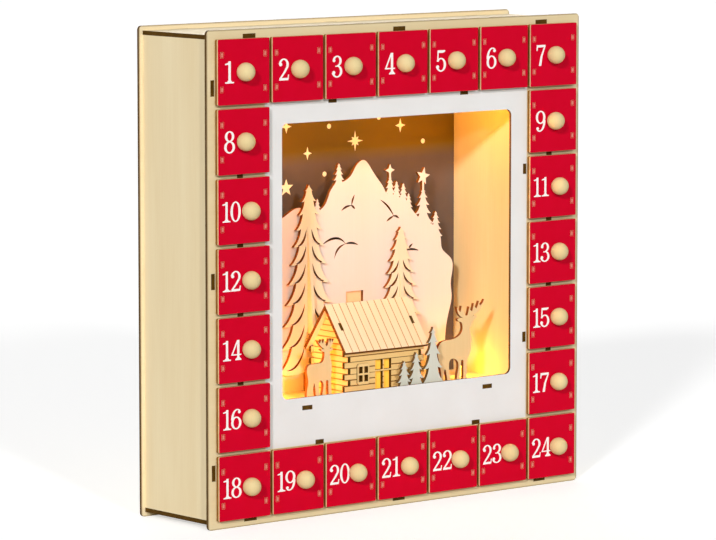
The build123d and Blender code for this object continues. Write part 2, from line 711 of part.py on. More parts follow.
def big_pine(x, height, reach, spine_low, name):
    """Tall pine with sawn lines between its branches, and a rib that stands out of its trunk."""
    face = pine(x, floor_top, height, reach, pine_tiers, pine_trunk, pine_notch_share)
    tips = pine_tips(height, reach, pine_tiers)
    for (_, above), (tip, low) in zip(tips[pine_slit_first:], tips[pine_slit_first + 1:]):
        for side in (-1, 1):
            points = [(x + side * a * tip, floor_top + low + b * (above - low)) for a, b in pine_slit_shares]
            face -= sawn_line(points, pine_slit)
    plate = stand(front_plate(face, pine_y, scenery_ply), name)
    spine_high = floor_top + height * pine_spine_top_share
    points = [(pine_y, spine_low), (pine_y - pine_spine, spine_low), (pine_y, spine_high)]
    spine = side_plate(outline(points), x - scenery_ply / 2, scenery_ply)
    return [plate, spine]


def snowy_pines():
    """Three small pines in one plate, joined by a strip along the floor."""
    middles = [share[0] * scene_half for share in snowy_pine_shares]
    reaches = [share[2] * scene_half for share in snowy_pine_shares]
    left = min(m - r for m, r in zip(middles, reaches))
    right = max(m + r for m, r in zip(middles, reaches))
    face = Pos((left + right) / 2, floor_top + snowy_rail / 2) * Rectangle(right - left, snowy_rail)
    for (x_share, height_share, reach_share) in snowy_pine_shares:
        height = height_share * mountain_height
        reach = reach_share * scene_half
        face += pine(x_share * scene_half, floor_top, height, reach, snowy_tiers, reach, small_notch_share)
    return stand(front_plate(face, snowy_y, scenery_ply), "snowy_pines")


def deer(share, length, height, y, runs, name):
    """Standing deer with antlers."""
    left = share * scene_half
    edges = [smooth([(left + a * length, floor_top + b * height) for a, b in run]) for run in runs]
    face = make_face(edges)
    return stand(front_plate(face, y, scenery_ply), name)


def under_roof(y):
    """Height of the roof's inner face at a place in its depth."""
    return floor_top + ridge_height - roof_upright - abs(y - roof_middle) * roof_rise / roof_run


def roof_tab_points(side, play):
    """Tab of a gable through one slope, front (-1) or back (1), drawn in Y and Z."""
    along = Vector(side * roof_run, -roof_rise) / roof_slope
    inward = Vector(-side * roof_rise, -roof_run) / roof_slope
    y = roof_middle + side * roof_run * roof_tab_share
    middle = Vector(y, under_roof(y))
    half = along * (roof_tab / 2 + play)
    outside = middle - inward * (scenery_ply + play)
    inside = middle + inward * scenery_ply
    corners = [outside - half, outside + half, inside + half, inside - half]
    return [(c.X, c.Y) for c in corners]


def course_height():
    """Height of one course of logs."""
    return (under_roof(front_wall_y) - floor_top) / log_courses


def finger_heights():
    """Lower sides of the courses whose logs run on past the gables: every second one, up to the top."""
    return [floor_top + course * course_height() for course in range(1, log_courses, 2)]


def long_wall(y, name):
    """Front or back wall of the cabin, whose logs pass between those of the gables."""
    top = under_roof(front_wall_y)
    x0 = left_gable_x + scenery_ply
    x1 = right_gable_x
    solid = block(x0, x1, y, y + scenery_ply, floor_top, top)
    for z in finger_heights():
        solid += block(left_gable_x - log_end, right_gable_x + scenery_ply + log_end, y, y + scenery_ply,
                       z, z + course_height())
    return stand(solid, name)


def cabin_front_wall():
    """Front wall with a window of four panes and a door with crossed bars."""
    solid = long_wall(front_wall_y, "cabin_front_wall")
    x = left_gable_x + pane_share[0] * cabin_length
    z = floor_top + pane_share[1] * course_height() * log_courses
    y0 = front_wall_y - overrun
    y1 = front_wall_y + overrun
    for px in (x - pane_bar / 2 - pane_width, x + pane_bar / 2):
        for pz in (z - pane_bar / 2 - pane_height, z + pane_bar / 2):
            solid -= block(px, px + pane_width, y0, y1, pz, pz + pane_height)
    door_x = left_gable_x + door_share * cabin_length
    low = floor_top + door_sill
    leaf = (door_width - door_bar) / 2
    upper = (door_height - door_bar) / 3
    for px in (door_x - door_width / 2, door_x + door_bar / 2):
        solid -= block(px, px + leaf, y0, y1, low, low + 2 * upper)
        solid -= block(px, px + leaf, y0, y1, low + door_height - upper, low + door_height)
    return solid


def gable(x, name):
    """Gable of the cabin, notched for the long walls, with a tab through each slope of the roof."""
    y0 = front_wall_y
    y1 = back_wall_y + scenery_ply
    points = [(y0, floor_top), (y0, under_roof(y0)), (roof_middle, under_roof(roof_middle)),
              (y1, under_roof(y1)), (y1, floor_top)]
    face = outline(points)
    for side in (-1, 1):
        face += outline(roof_tab_points(side, 0))
    solid = side_plate(face, x, scenery_ply)
    for z in finger_heights():
        for y in (front_wall_y, back_wall_y):
            solid -= block(x, x + scenery_ply, y, y + scenery_ply, z, z + course_height())
    return stand(solid, name)


def roof(side):
    """One slope of the roof, front (-1) or back (1), with a slot over each gable."""
    ridge = (roof_middle, floor_top + ridge_height)
    eave = (roof_middle + side * roof_run, floor_top + eave_height)
    inward = (-side * roof_rise * scenery_ply / roof_slope, -roof_run * scenery_ply / roof_slope)
    points = [ridge, eave, (eave[0] + inward[0], eave[1] + inward[1]), (ridge[0], ridge[1] - roof_upright)]
    solid = side_plate(outline(points), roof_left, roof_length)
    for x in (left_gable_x, right_gable_x):
        solid -= side_plate(outline(roof_tab_points(side, kerf)), x - kerf, scenery_ply + 2 * kerf)
    return solid


def floor_lamp_places():
    """Middles of the lamps that stand on the floor, in X and Y."""
    return [(a * scene_half, in_y + b * inner_depth) for a, b in floor_lamp_shares]


def scene_floor():
    """Floor of the scene, with slots for the scenery, holes for lamps and notches for the wire."""
    solid = board(-scene_half, scene_half, floor_low, floor_top, board_tabs["scene_floor"])
    for spans in feet.values():
        for x0, x1, y0, y1 in spans:
            solid -= block(x0 - kerf, x1 + kerf, y0 - kerf, y1 + kerf, floor_low - overrun, floor_top + overrun)
    for x, y in floor_lamp_places():
        hole = Cylinder(lamp_stub_d / 2 + lamp_stub_clear, wall_ply + 2 * overrun)
        solid -= Pos(x, y, (floor_low + floor_top) / 2) * hole
    drop = wire_drop_share * scene_half
    low = floor_low - overrun
    high = floor_top + overrun
    solid -= block(drop - wire_slot / 2, drop + wire_slot / 2, out_y - wire_back_gap - wire_slot / 2,
                   out_y + overrun, low, high)
    solid -= block(-scene_half - overrun, -scene_half + wire_corner + wire_slot / 2, in_y - overrun,
                   in_y + wire_corner + wire_slot / 2, low, high)
    return solid


def lamp(stub):
    """Lamp with a round lens, a flange and a stub for its leads; it points up from Z = 0."""
    on_top = (Align.CENTER, Align.CENTER, Align.MIN)
    solid = Cylinder(lamp_flange_d / 2, lamp_flange, align=on_top)
    solid += Cylinder(lamp_d / 2, lamp_body, align=on_top)
    solid += Pos(0, 0, lamp_body) * Sphere(lamp_d / 2)
    if stub > 0:
        solid += Pos(0, 0, -stub) * Cylinder(lamp_stub_d / 2, stub + lamp_flange, align=on_top)
    return solid


def lamps():
    """Lamps on the floor, and lamps behind the upper lip of the window that point to the back."""
    stub = floor_top - wire_under - wire_d / 2 - wire_clear
    solids = [Pos(x, y, floor_top) * lamp(stub) for x, y in floor_lamp_places()]
    z = scene_high - top_lamp_drop
    for share in top_lamp_shares:
        solids.append(Pos(share * scene_half, in_y, z) * Rot(-90, 0, 0) * lamp(0))
    return solids


def wire():
    """Wire from the battery box, under the floor past each lamp, and up behind the window's lips."""
    back = out_y - wire_back_gap
    drop = wire_drop_share * scene_half
    corner_x = wire_corner - scene_half
    corner_y = in_y + wire_d / 2 + wire_clear
    top = scene_high - top_lamp_drop + lamp_flange_d / 2 + wire_d / 2 + wire_clear
    start = box_x + box_inner_width / 2 + box_wall
    end = max(top_lamp_shares) * scene_half + lamp_d
    route = [(start, back, box_z), (drop, back, box_z), (drop, back, wire_under)]
    route += [(x, y, wire_under) for x, y in floor_lamp_places()]
    route += [(corner_x, corner_y, wire_under), (corner_x, corner_y, top), (end, corner_y, top)]
    path = FilletPolyline(*route, radius=wire_bend)
    return sweep(Plane(path @ 0, z_dir=path % 0) * Circle(wire_d / 2), path=path)


def battery_box():
    """Moulded box that opens to the back, with a flange and a housing for the switch at its left."""
    x = box_inner_width / 2
    z = box_inner_height / 2
    flange = box_flange + box_wall
    solid = block(box_x - x - box_wall, box_x + x + box_wall, out_y - box_depth, out_y,
                  box_z - z - box_wall, box_z + z + box_wall)
    solid += block(box_x - x - flange, box_x + x + flange, out_y - box_flange_ply, out_y,
                   box_z - z - flange, box_z + z + flange)
    solid += block(switch_left, switch_right, out_y - slider_length - switch_wall, out_y,
                   box_z - slot_height / 2 - switch_wall, box_z + slot_height / 2 + switch_wall)
    solid -= block(box_x - x, box_x + x, out_y - box_inner_depth, out_y + overrun, box_z - z, box_z + z)
    solid -= block(switch_left + switch_wall, switch_right - switch_wall, out_y - slider_length,
                   out_y + overrun, box_z - slot_height / 2, box_z + slot_height / 2)
    return solid


def battery_middles():
    """Heights of the two cells' middles."""
    step = (battery_d + battery_gap) / 2
    return [box_z - step, box_z + step]


def battery_cells():
    """Two small round cells, side by side."""
    y = out_y - battery_gap - battery_d / 2
    return [Pos(box_x, y, z) * Rot(0, 90, 0) * Cylinder(battery_d / 2, battery_length) for z in battery_middles()]


def battery_contacts():
    """A flat contact at each end of each cell."""
    y = out_y - battery_gap - battery_d / 2
    end = box_inner_width / 2
    solids = []
    for z in battery_middles():
        for x in (box_x - end, box_x + end - contact_ply):
            solids.append(block(x, x + contact_ply, y - contact_side / 2, y + contact_side / 2,
                                z - contact_side / 2, z + contact_side / 2))
    return solids


def battery_cover():
    """Cover that lies in the back panel, with a thumb notch."""
    x = box_inner_width / 2 - cover_gap
    z = box_inner_height / 2 - cover_gap
    solid = block(box_x - x, box_x + x, out_y, rear_y, box_z - z, box_z + z)
    notch = Rot(90, 0, 0) * Cylinder(thumb_notch_d / 2, 2 * thumb_notch_depth)
    return solid - Pos(box_x + x, rear_y, box_z) * notch


def switch_slider():
    """Slider of the switch, at the left end of its slot."""
    x = switch_left + switch_wall + slider_gap
    y1 = rear_y - slider_recess
    solid = block(x, x + slider_width, out_y - slider_length + slider_gap, y1,
                  box_z - slider_height / 2, box_z + slider_height / 2)
    groove = slider_width / 5
    for step in (1, 3):
        gx = x + groove * step
        solid -= block(gx, gx + groove, y1 - slider_recess, y1 + overrun, box_z - overrun, box_z + overrun)
    return solid


def pieces():
    """Every node's solids, by name."""
    nodes = {"front_panel": [front_panel()], "back_panel": [back_panel()]}
    nodes.update(case_boards())
    nodes["top_row_dividers"] = row_dividers(cells - 1)
    nodes["bottom_row_dividers"] = row_dividers(0)
    nodes["left_column_shelves"] = column_shelves(-1)
    nodes["right_column_shelves"] = column_shelves(1)
    nodes["scene_floor"] = [scene_floor()]
    nodes["mountain"] = [mountain()]
    spine_low = floor_top + eave_height + pine_spine * roof_rise / roof_run
    nodes["left_pine"] = big_pine(left_pine_x, left_pine_height, left_pine_reach, spine_low, "left_pine")
    nodes["right_pine"] = big_pine(right_pine_x, right_pine_height, right_pine_reach, floor_top, "right_pine")
    nodes["snowy_pines"] = [snowy_pines()]
    nodes["cabin_front_wall"] = [cabin_front_wall()]
    nodes["cabin_back_wall"] = [long_wall(back_wall_y, "cabin_back_wall")]
    nodes["cabin_left_gable"] = [gable(left_gable_x, "cabin_left_gable")]
    nodes["cabin_right_gable"] = [gable(right_gable_x, "cabin_right_gable")]
    nodes["cabin_roof_front"] = [roof(-1)]
    nodes["cabin_roof_back"] = [roof(1)]
    left_runs = left_deer_rear_shares + left_deer_antler_shares + left_deer_fore_shares
    right_runs = right_deer_rear_shares + right_deer_antler_shares + right_deer_fore_shares
    nodes["left_deer"] = [deer(left_deer_share, left_deer_length, left_deer_height, left_deer_y,
                               left_runs, "left_deer")]
    nodes["right_deer"] = [deer(right_deer_share, right_deer_length, right_deer_height, right_deer_y,
                                right_runs, "right_deer")]
    nodes["led_lamps"] = lamps()
    nodes["led_wire"] = [wire()]
    nodes["battery_box"] = [battery_box()]
    nodes["battery_cells"] = battery_cells()
    nodes["battery_contacts"] = battery_contacts()
    nodes["battery_cover"] = [battery_cover()]
    nodes["switch_slider"] = [switch_slider()]
    nodes.update(drawers())
    return nodes


os.makedirs("parts", exist_ok=True)
for node, shapes in pieces().items():
    solids = [solid for shape in shapes for solid in shape.solids()]
    export_step(Compound(children=solids), f"parts/{node}.step")
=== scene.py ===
import math

import bmesh
import bpy
from mathutils import Matrix, Vector
from mathutils.geometry import delaunay_2d_cdt


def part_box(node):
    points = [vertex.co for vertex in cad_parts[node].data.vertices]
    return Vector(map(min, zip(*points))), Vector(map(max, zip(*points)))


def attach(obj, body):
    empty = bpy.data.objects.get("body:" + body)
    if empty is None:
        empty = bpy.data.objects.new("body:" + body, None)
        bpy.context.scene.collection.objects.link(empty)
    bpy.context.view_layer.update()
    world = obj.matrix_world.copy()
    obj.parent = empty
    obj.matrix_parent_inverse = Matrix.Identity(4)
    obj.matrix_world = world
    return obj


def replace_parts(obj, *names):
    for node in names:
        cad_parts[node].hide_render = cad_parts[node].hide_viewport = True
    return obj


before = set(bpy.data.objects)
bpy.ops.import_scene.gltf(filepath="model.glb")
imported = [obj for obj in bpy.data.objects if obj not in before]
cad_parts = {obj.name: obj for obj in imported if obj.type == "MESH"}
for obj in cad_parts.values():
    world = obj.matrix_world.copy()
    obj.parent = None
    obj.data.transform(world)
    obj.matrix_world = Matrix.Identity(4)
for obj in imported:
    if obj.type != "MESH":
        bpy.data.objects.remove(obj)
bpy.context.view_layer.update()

MM = 0.001

# Drawers, in millimetres about the middle of the front plate
plate_ply = 3.0
plate_corner = 0.8
plate_corner_steps = 4
plate_arris = 0.2  # softened edges of the plate
plate_veneer_and_shade = (0.9, 1.3)  # depths: tan veneer ends, brown core (partly painted shade) starts
knob_height = 10.6
knob_radius = 6.3
knob_tip = 5.0  # half angle of the small flat at the front, in degrees
knob_rings = 20
knob_sides = 40
knob_one_digit = -1.5
knob_two_digits = 2.75
tray_width = 39.8
tray_low = -20.4
tray_height = 38.0
tray_ply = 2.6
tray_floor_ply = 2.0
tab_height = 4.0
tab_rise = 11.7
tab_rim = (0.7, 0.3)  # from a tab's outline: where its bare end fades, to full paint
slot_play = 0.08
back_tab = 7.0
floor_tab = 12.0
tab_share = 0.25  # places of the back's and the floor's tabs
tray_kerf = 0.05  # hairline between the boards of a tray

# Numbers
digit_height = 15.5  # box that the digits are drawn in
digit_width = 8.2
one_digit = (9.2, 14.9)  # width and height of the digit in a one-digit number
two_digits = (8.8, 13.8)  # the same in a two-digit number
narrow_one = 8.2  # width of a 1 in a two-digit number
digit_steps = {"1": 7.7, "2": 9.3}  # from a first digit to the next
digit_left_one = 5.2  # left edge of a one-digit number, from the plate's left edge
digit_left_two = 2.7
digit_drop = 0.1
ink_depth = 0.12
stem = 1.8  # thick and thin strokes
hair = 0.95
ball_sides = 16
bowl_step = 12.0  # degrees from one corner of a bowl to the next
weld = 1e-4  # corners closer than this are one

# Paint on the front panel and print on the back panel
white_field = (120.0, 51.0, 289.0)  # half width, lower and upper side
sky_field = (116.5, 53.5, 286.5)
panel_half = 170.0
panel_rim = (1.1, 0.3)  # from the panel's outline: where the darkening starts and is darkest

# Colours of the bare birch boards and their cut edges
board_light = "#F0DFB8"
board_dark = "#DFC594"
edge_brown = "#664716"
edge_char = "#3A2708"
scenery_edges = ("#A8602A", "#5C3210")

# How squarely a surface faces along a board's thickness, from 0 to 1
face_level = 0.78  # faces
groove_level = 0.3  # sloping sides of engraved grooves
front_level = 0.6  # faces turned to the front

figure_shift = 37.0  # how far the wood's figure may move from piece to piece, in features
char_size = 4.0  # clouds of char on cut edges, in millimetres
bare_roughness = 0.62  # of sanded wood


# Colours and nodes

def hex_colour(text):
    """Linear colour for a shader socket from an sRGB hex value."""
    channels = [int(text[i:i + 2], 16) / 255 for i in (1, 3, 5)]
    linear = [c / 12.92 if c <= 0.04045 else ((c + 0.055) / 1.055) ** 2.4 for c in channels]
    return (*linear, 1.0)


def add(tree, kind, inputs=None, **settings):
    """Adds a node: settings are its own options, and inputs what goes to its sockets.

    An input is a value, a hex colour, a socket to link, or a node whose first output is linked.
    """
    made = tree.nodes.new("ShaderNode" + kind)
    for name, value in settings.items():
        setattr(made, name, value)
    for name, value in (inputs or {}).items():
        if isinstance(value, bpy.types.Node):
            value = value.outputs[0]
        if isinstance(value, bpy.types.NodeSocket):
            tree.links.new(value, made.inputs[name])
        else:
            made.inputs[name].default_value = hex_colour(value) if isinstance(value, str) else value
    return made


def new_material(name):
    """Empty material and its node tree."""
    material = bpy.data.materials.new(name)
    material.use_nodes = True
    material.node_tree.nodes.clear()
    return material, material.node_tree


def finish_surface(material, inputs):
    """Ends a material with one shader."""
    shader = add(material.node_tree, "BsdfPrincipled", inputs)
    add(material.node_tree, "OutputMaterial", {"Surface": shader})
    return material


def per_metre(millimetres):
    """Scale of a pattern whose features are this wide."""
    return 1 / (millimetres * MM)


def axes_of(tree, output):
    """The three axes of a point's place (Object) or of the way that it faces (Normal)."""
    coords = add(tree, "TexCoord").outputs[output]
    return add(tree, "SeparateXYZ", {"Vector": coords}).outputs


def apart(tree, coordinate, middle):
    """How far a coordinate lies from a place given in millimetres, to either side."""
    away = add(tree, "Math", {0: coordinate, 1: middle * MM}, operation="SUBTRACT")
    return add(tree, "Math", {0: away}, operation="ABSOLUTE")


def mottled(tree, size, light, dark, detail=2.0):
    """Two tones in soft clouds of a size in millimetres; gives the colour and the lighter share."""
    coords = add(tree, "TexCoord").outputs["Object"]
    cloud = add(tree, "TexNoise", {"Vector": coords, "Scale": per_metre(size), "Detail": detail})
    return add(tree, "MixRGB", {"Fac": cloud, "Color1": dark, "Color2": light}), cloud


def wood_figure(tree, grain, light, dark, line_width=1.1):
    """Figure of peeled birch: broad soft bands, fine lines along the grain and short dark flecks.

    Gives the colour, and a height that falls where the wood is darker.
    """
    coords = add(tree, "TexCoord").outputs["Object"]
    chance = add(tree, "ObjectInfo").outputs["Random"]
    shift = add(tree, "Math", {0: chance, 1: figure_shift}, operation="MULTIPLY")
    # Width and length in millimetres, the noise's range, and the most that it darkens the wood
    bands = (26.0, 190.0, 0.3, 0.7, 0.35)
    lines = (line_width, 46.0, 0.35, 0.75, 0.15)
    flecks = (0.55, 7.0, 0.66, 0.76, 0.25)
    shade = 0.0
    for across, along, low, high, share in (bands, lines, flecks):
        scale = [per_metre(along if axis == grain else across) for axis in "XYZ"]
        place = add(tree, "Mapping", {"Vector": coords, "Scale": scale, "Location": shift})
        noise = add(tree, "TexNoise", {"Vector": place, "Scale": 1.0, "Detail": 3.0,
                                       "Distortion": 0.4})
        part = add(tree, "MapRange", {"Value": noise, "From Min": low, "From Max": high,
                                      "To Max": share})
        shade = add(tree, "Math", {0: shade, 1: part}, operation="ADD", use_clamp=True)
    colour = add(tree, "MixRGB", {"Fac": shade, "Color1": light, "Color2": dark})
    height = add(tree, "Math", {0: 1.0, 1: shade}, operation="SUBTRACT")
    return colour, height


def face_mask(tree, thin, level=face_level):
    """1 on the faces of a board whose thickness runs along an axis, 0 on its cut edges.

    A lower level counts the sloping sides of grooves as faces too.
    """
    size = add(tree, "Math", {0: axes_of(tree, "Normal")[thin]}, operation="ABSOLUTE")
    return add(tree, "Math", {0: size, 1: level}, operation="GREATER_THAN")


def front_mask(tree):
    """1 on faces that are turned to the front."""
    facing = axes_of(tree, "Normal")["Y"]
    return add(tree, "Math", {0: facing, 1: -front_level}, operation="LESS_THAN")


def burnt_edge(tree, thin, light, dark, veneer=1.0):
    """Laser-cut edge of plywood: brown char with paler and darker veneers across its thickness."""
    around = 2 * math.pi * per_metre(veneer)
    turn = add(tree, "Math", {0: axes_of(tree, "Object")[thin], 1: around}, operation="MULTIPLY")
    wave = add(tree, "Math", {0: turn}, operation="SINE")
    coords = add(tree, "TexCoord").outputs["Object"]
    char = add(tree, "TexNoise", {"Vector": coords, "Scale": per_metre(char_size), "Detail": 3.0})
    mix = add(tree, "Math", {0: wave, 1: 0.25, 2: char}, operation="MULTIPLY_ADD", use_clamp=True)
    return add(tree, "MixRGB", {"Fac": mix, "Color1": dark, "Color2": light})


def board_shader(material, colour, height, roughness=bare_roughness, depth=0.06, strength=0.5,
                 gloss=0.05):
    """Sanded wood, bare or thinly painted: dull, with a grain that can just be felt."""
    bump = add(material.node_tree, "Bump", {"Height": height, "Strength": strength,
                                            "Distance": depth * MM})
    return finish_surface(material, {"Base Color": colour, "Roughness": roughness, "IOR": 1.5,
                                     "Specular IOR Level": gloss, "Normal": bump})


def birch_plywood(name, thin, grain, light=board_light, dark=board_dark,
                  edges=(edge_brown, edge_char), rib_front=None, groove=None):
    """Peeled birch plywood, sanded: cream faces with soft long figure, and brown laser-cut edges.

    A rib's sides ahead of rib_front count as faces. Engraved grooves may be paler than the edges.
    """
    material, tree = new_material(name)
    colour, height = wood_figure(tree, grain, light, dark)
    face = face_mask(tree, thin)
    if rib_front is not None:
        depth = axes_of(tree, "Object")["Y"]
        ahead = add(tree, "Math", {0: depth, 1: rib_front * MM}, operation="LESS_THAN")
        rib = add(tree, "Math", {0: ahead, 1: face_mask(tree, "X")}, operation="MULTIPLY")
        face = add(tree, "Math", {0: face, 1: rib}, operation="MAXIMUM")
    edge = burnt_edge(tree, thin, *edges)
    if groove:
        sloping = face_mask(tree, thin, groove_level)
        edge = add(tree, "MixRGB", {"Fac": sloping, "Color1": edge, "Color2": groove})
    mixed = add(tree, "MixRGB", {"Fac": face, "Color1": edge, "Color2": colour})
    return board_shader(material, mixed, height)


def front_field(tree, half_width, low, high):
    """1 on faces turned to the front, in a field about the middle plane given in millimetres."""
    place = axes_of(tree, "Object")
    field = front_mask(tree)
    for axis, middle, half in (("X", 0, half_width), ("Z", (low + high) / 2, (high - low) / 2)):
        away = apart(tree, place[axis], middle)
        inside = add(tree, "Math", {0: away, 1: half * MM}, operation="LESS_THAN")
        field = add(tree, "Math", {0: field, 1: inside}, operation="MULTIPLY")
    return field


def painted_panel(name, field_size, light, dark, cloud_size, roughness=bare_roughness,
                  bare=(board_light, board_dark), upper=None):
    """Birch plywood panel with a field of paint or print on its front; the rest of it stays bare.

    bare gives the light and dark colours of the wood, and upper a colour that the field turns to,
    between two heights in millimetres: painted light, a warm band of lamp light in the shadow that
    the panel's top lip casts. The rim of the panel is darkened towards the brown of its edges.
    """
    material, tree = new_material(name)
    colour, height = wood_figure(tree, "X", *bare)
    field = front_field(tree, *field_size)
    place = axes_of(tree, "Object")
    coords = add(tree, "TexCoord").outputs["Object"]
    cloud = add(tree, "TexNoise", {"Vector": coords, "Scale": per_metre(cloud_size), "Detail": 4.0})
    spread = add(tree, "MapRange", {"Value": cloud, "From Min": 0.3, "From Max": 0.7})
    paint = add(tree, "MixRGB", {"Fac": spread, "Color1": dark, "Color2": light})
    # Painted light: the field turns to a warm band near its top, for lamp light in the lip's
    # shadow.
    if upper:
        painted_lamp_colour, turn_low, turn_high = upper
        turn = add(tree, "MapRange", {"Value": place["Z"], "From Min": turn_low * MM,
                                      "From Max": turn_high * MM})
        paint = add(tree, "MixRGB", {"Fac": turn, "Color1": paint, "Color2": painted_lamp_colour})
    painted = add(tree, "MixRGB", {"Fac": field, "Color1": colour, "Color2": paint})
    # The rim is darkened towards edge brown.
    rim_darkening = 0.0
    for axis, middle in (("X", 0), ("Z", panel_half)):
        away = apart(tree, place[axis], middle)
        rim = add(tree, "MapRange", {"Value": away, "From Min": (panel_half - panel_rim[0]) * MM,
                                     "From Max": (panel_half - panel_rim[1]) * MM, "To Max": 0.6})
        rim_darkening = add(tree, "Math", {0: rim_darkening, 1: rim}, operation="MAXIMUM")
    rimmed = add(tree, "MixRGB", {"Fac": rim_darkening, "Color1": painted, "Color2": edge_brown})
    edge = burnt_edge(tree, "Y", edge_brown, edge_char, veneer=0.7)
    mixed = add(tree, "MixRGB", {"Fac": face_mask(tree, "Y"), "Color1": edge, "Color2": rimmed})
    if roughness != bare_roughness:
        roughness = add(tree, "MapRange", {"Value": field, "To Min": bare_roughness,
                                           "To Max": roughness})
    return board_shader(material, mixed, height, roughness, depth=0.05, strength=0.4, gloss=0.2)


def red_painted_front(name):
    """Red satin paint rolled on a plywood plate: even colour, a trace of grain and a bare back.

    Its laser-cut edges show a tan front veneer over a brown core that runs to the back: partly the
    ply's core, partly painted shade in the gaps between plates.
    """
    material, tree = new_material(name)
    bare, height = wood_figure(tree, "Z", "#E8CFA0", "#CFA874")
    red, cloud = mottled(tree, 14.0, "#D0002A", "#C60020", detail=3.0)
    painted = add(tree, "MixRGB", {"Fac": front_mask(tree), "Color1": bare, "Color2": red})
    # The brown core is partly painted shade, for the gaps between neighbouring plates.
    veneer_end, shade_core_start = plate_veneer_and_shade
    depth = axes_of(tree, "Object")["Y"]
    core = add(tree, "MapRange", {"Value": depth, "From Min": veneer_end * MM,
                                  "From Max": shade_core_start * MM})
    edge = add(tree, "MixRGB", {"Fac": core, "Color1": burnt_edge(tree, "Y", "#E6CFA2", "#C8A070"),
                                "Color2": burnt_edge(tree, "Y", "#A06E30", "#6B4014")})
    mixed = add(tree, "MixRGB", {"Fac": face_mask(tree, "Y"), "Color1": edge, "Color2": painted})
    rough = add(tree, "MapRange", {"Value": cloud, "To Min": 0.5, "To Max": 0.6})
    return board_shader(material, mixed, height, rough, depth=0.05, strength=0.25)


def tray_plywood(name):
    """Thin birch plywood of the trays; red paint covers the rims of the tab ends in the plates."""
    material, tree = new_material(name)
    colour, height = wood_figure(tree, "Y", board_light, board_dark)
    place = axes_of(tree, "Object")
    ahead = add(tree, "Math", {0: place["Y"], 1: plate_ply / 2 * MM}, operation="LESS_THAN")
    end = add(tree, "Math", {0: front_mask(tree), 1: ahead}, operation="MULTIPLY")
    tan, _ = mottled(tree, 1.2, "#E6A08C", "#C8584A")
    bare = 1.0
    columns = ("X", (tray_width - tray_ply) / 2, tray_ply / 2)
    rows = ("Z", tab_rise, tab_height / 2)
    for axis, middle, half in (columns, rows):
        side = add(tree, "Math", {0: place[axis]}, operation="ABSOLUTE")
        away = apart(tree, side, middle)
        core = add(tree, "MapRange", {"Value": away, "From Min": (half - tab_rim[0]) * MM,
                                      "From Max": (half - tab_rim[1]) * MM,
                                      "To Min": 1.0, "To Max": 0.0})
        bare = add(tree, "Math", {0: bare, 1: core}, operation="MULTIPLY")
    tip = add(tree, "MixRGB", {"Fac": bare, "Color1": "#C60022", "Color2": tan})
    mixed = add(tree, "MixRGB", {"Fac": end, "Color1": colour, "Color2": tip})
    return board_shader(material, mixed, height)


def turned_birch(name):
    """Knob turned from birch and left bare: pale, fine grain, a soft sheen from sanding."""
    material, tree = new_material(name)
    colour, height = wood_figure(tree, "Z", "#DECB98", "#CBB07A", line_width=0.7)
    return board_shader(material, colour, height, roughness=0.5, depth=0.03)


def printed_ink(name, light, dark, glow=0.0):
    """Screen-printed ink: opaque, matt, a little uneven; glow paints a faint light into it."""
    material, tree = new_material(name)
    colour, cover = mottled(tree, 2.5, light, dark)
    rough = add(tree, "MapRange", {"Value": cover, "To Min": 0.45, "To Max": 0.6})
    return finish_surface(material, {"Base Color": colour, "Roughness": rough, "IOR": 1.5,
                                     "Emission Color": colour, "Emission Strength": glow})


def moulded_abs(name):
    """ABS moulded with a fine spark texture: black, dull, with small soft glints."""
    material, tree = new_material(name)
    colour, grit = mottled(tree, 0.4, "#2A2A2D", "#17171A")
    rough = add(tree, "MapRange", {"Value": grit, "To Min": 0.4, "To Max": 0.65})
    bump = add(tree, "Bump", {"Height": grit, "Strength": 0.4, "Distance": 0.05 * MM})
    return finish_surface(material, {"Base Color": colour, "Roughness": rough, "IOR": 1.53,
                                     "Normal": bump})


def drawn_steel(name, light, dark):
    """Plated steel, drawn in one direction: grey, bright, with fine streaks."""
    material, tree = new_material(name)
    coords = add(tree, "TexCoord").outputs["Object"]
    scale = (per_metre(20.0), per_metre(0.3), per_metre(0.3))
    place = add(tree, "Mapping", {"Vector": coords, "Scale": scale})
    streak = add(tree, "TexNoise", {"Vector": place, "Scale": 1.0, "Detail": 2.0})
    colour = add(tree, "MixRGB", {"Fac": streak, "Color1": dark, "Color2": light})
    rough = add(tree, "MapRange", {"Value": streak, "To Min": 0.25, "To Max": 0.45})
    return finish_surface(material, {"Base Color": colour, "Metallic": 1.0, "Roughness": rough})


def glowing_epoxy(name):
    """Warm white lamp cast in clear epoxy: lit from inside, smooth, a little hazy."""
    material, tree = new_material(name)
    glow, _ = mottled(tree, 2.0, "#FFE3A0", "#FFC24A")
    return finish_surface(material, {"Base Color": glow, "Roughness": 0.15, "IOR": 1.54,
                                     "Emission Color": glow, "Emission Strength": 2.0})


def lit_vellum(name, light, dark):
    """Tinted tracing paper with a painted glow for light from behind it: even, a little cloudy."""
    material, tree = new_material(name)
    colour, _ = mottled(tree, 5.0, light, dark)
    return finish_surface(material, {"Base Color": colour, "Roughness": 0.7,
                                     "Emission Color": colour, "Emission Strength": 0.45})


def vinyl_sheath(name):
    """Thin vinyl sheath of the lamp wire: tan, slightly waxy."""
    material, tree = new_material(name)
    colour, cloud = mottled(tree, 6.0, "#D2AC74", "#B98F58")
    rough = add(tree, "MapRange", {"Value": cloud, "To Min": 0.35, "To Max": 0.5})
    return finish_surface(material, {"Base Color": colour, "Roughness": rough, "IOR": 1.53})


# Meshes

def mesh_from(name, bm, material, smooth=False):
    """Finished mesh from its working form."""
    bmesh.ops.recalc_face_normals(bm, faces=bm.faces)
    mesh = bpy.data.meshes.new(name)
    bm.to_mesh(mesh)
    bm.free()
    mesh.materials.append(material)
    for face in mesh.polygons:
        face.use_smooth = smooth
    return mesh


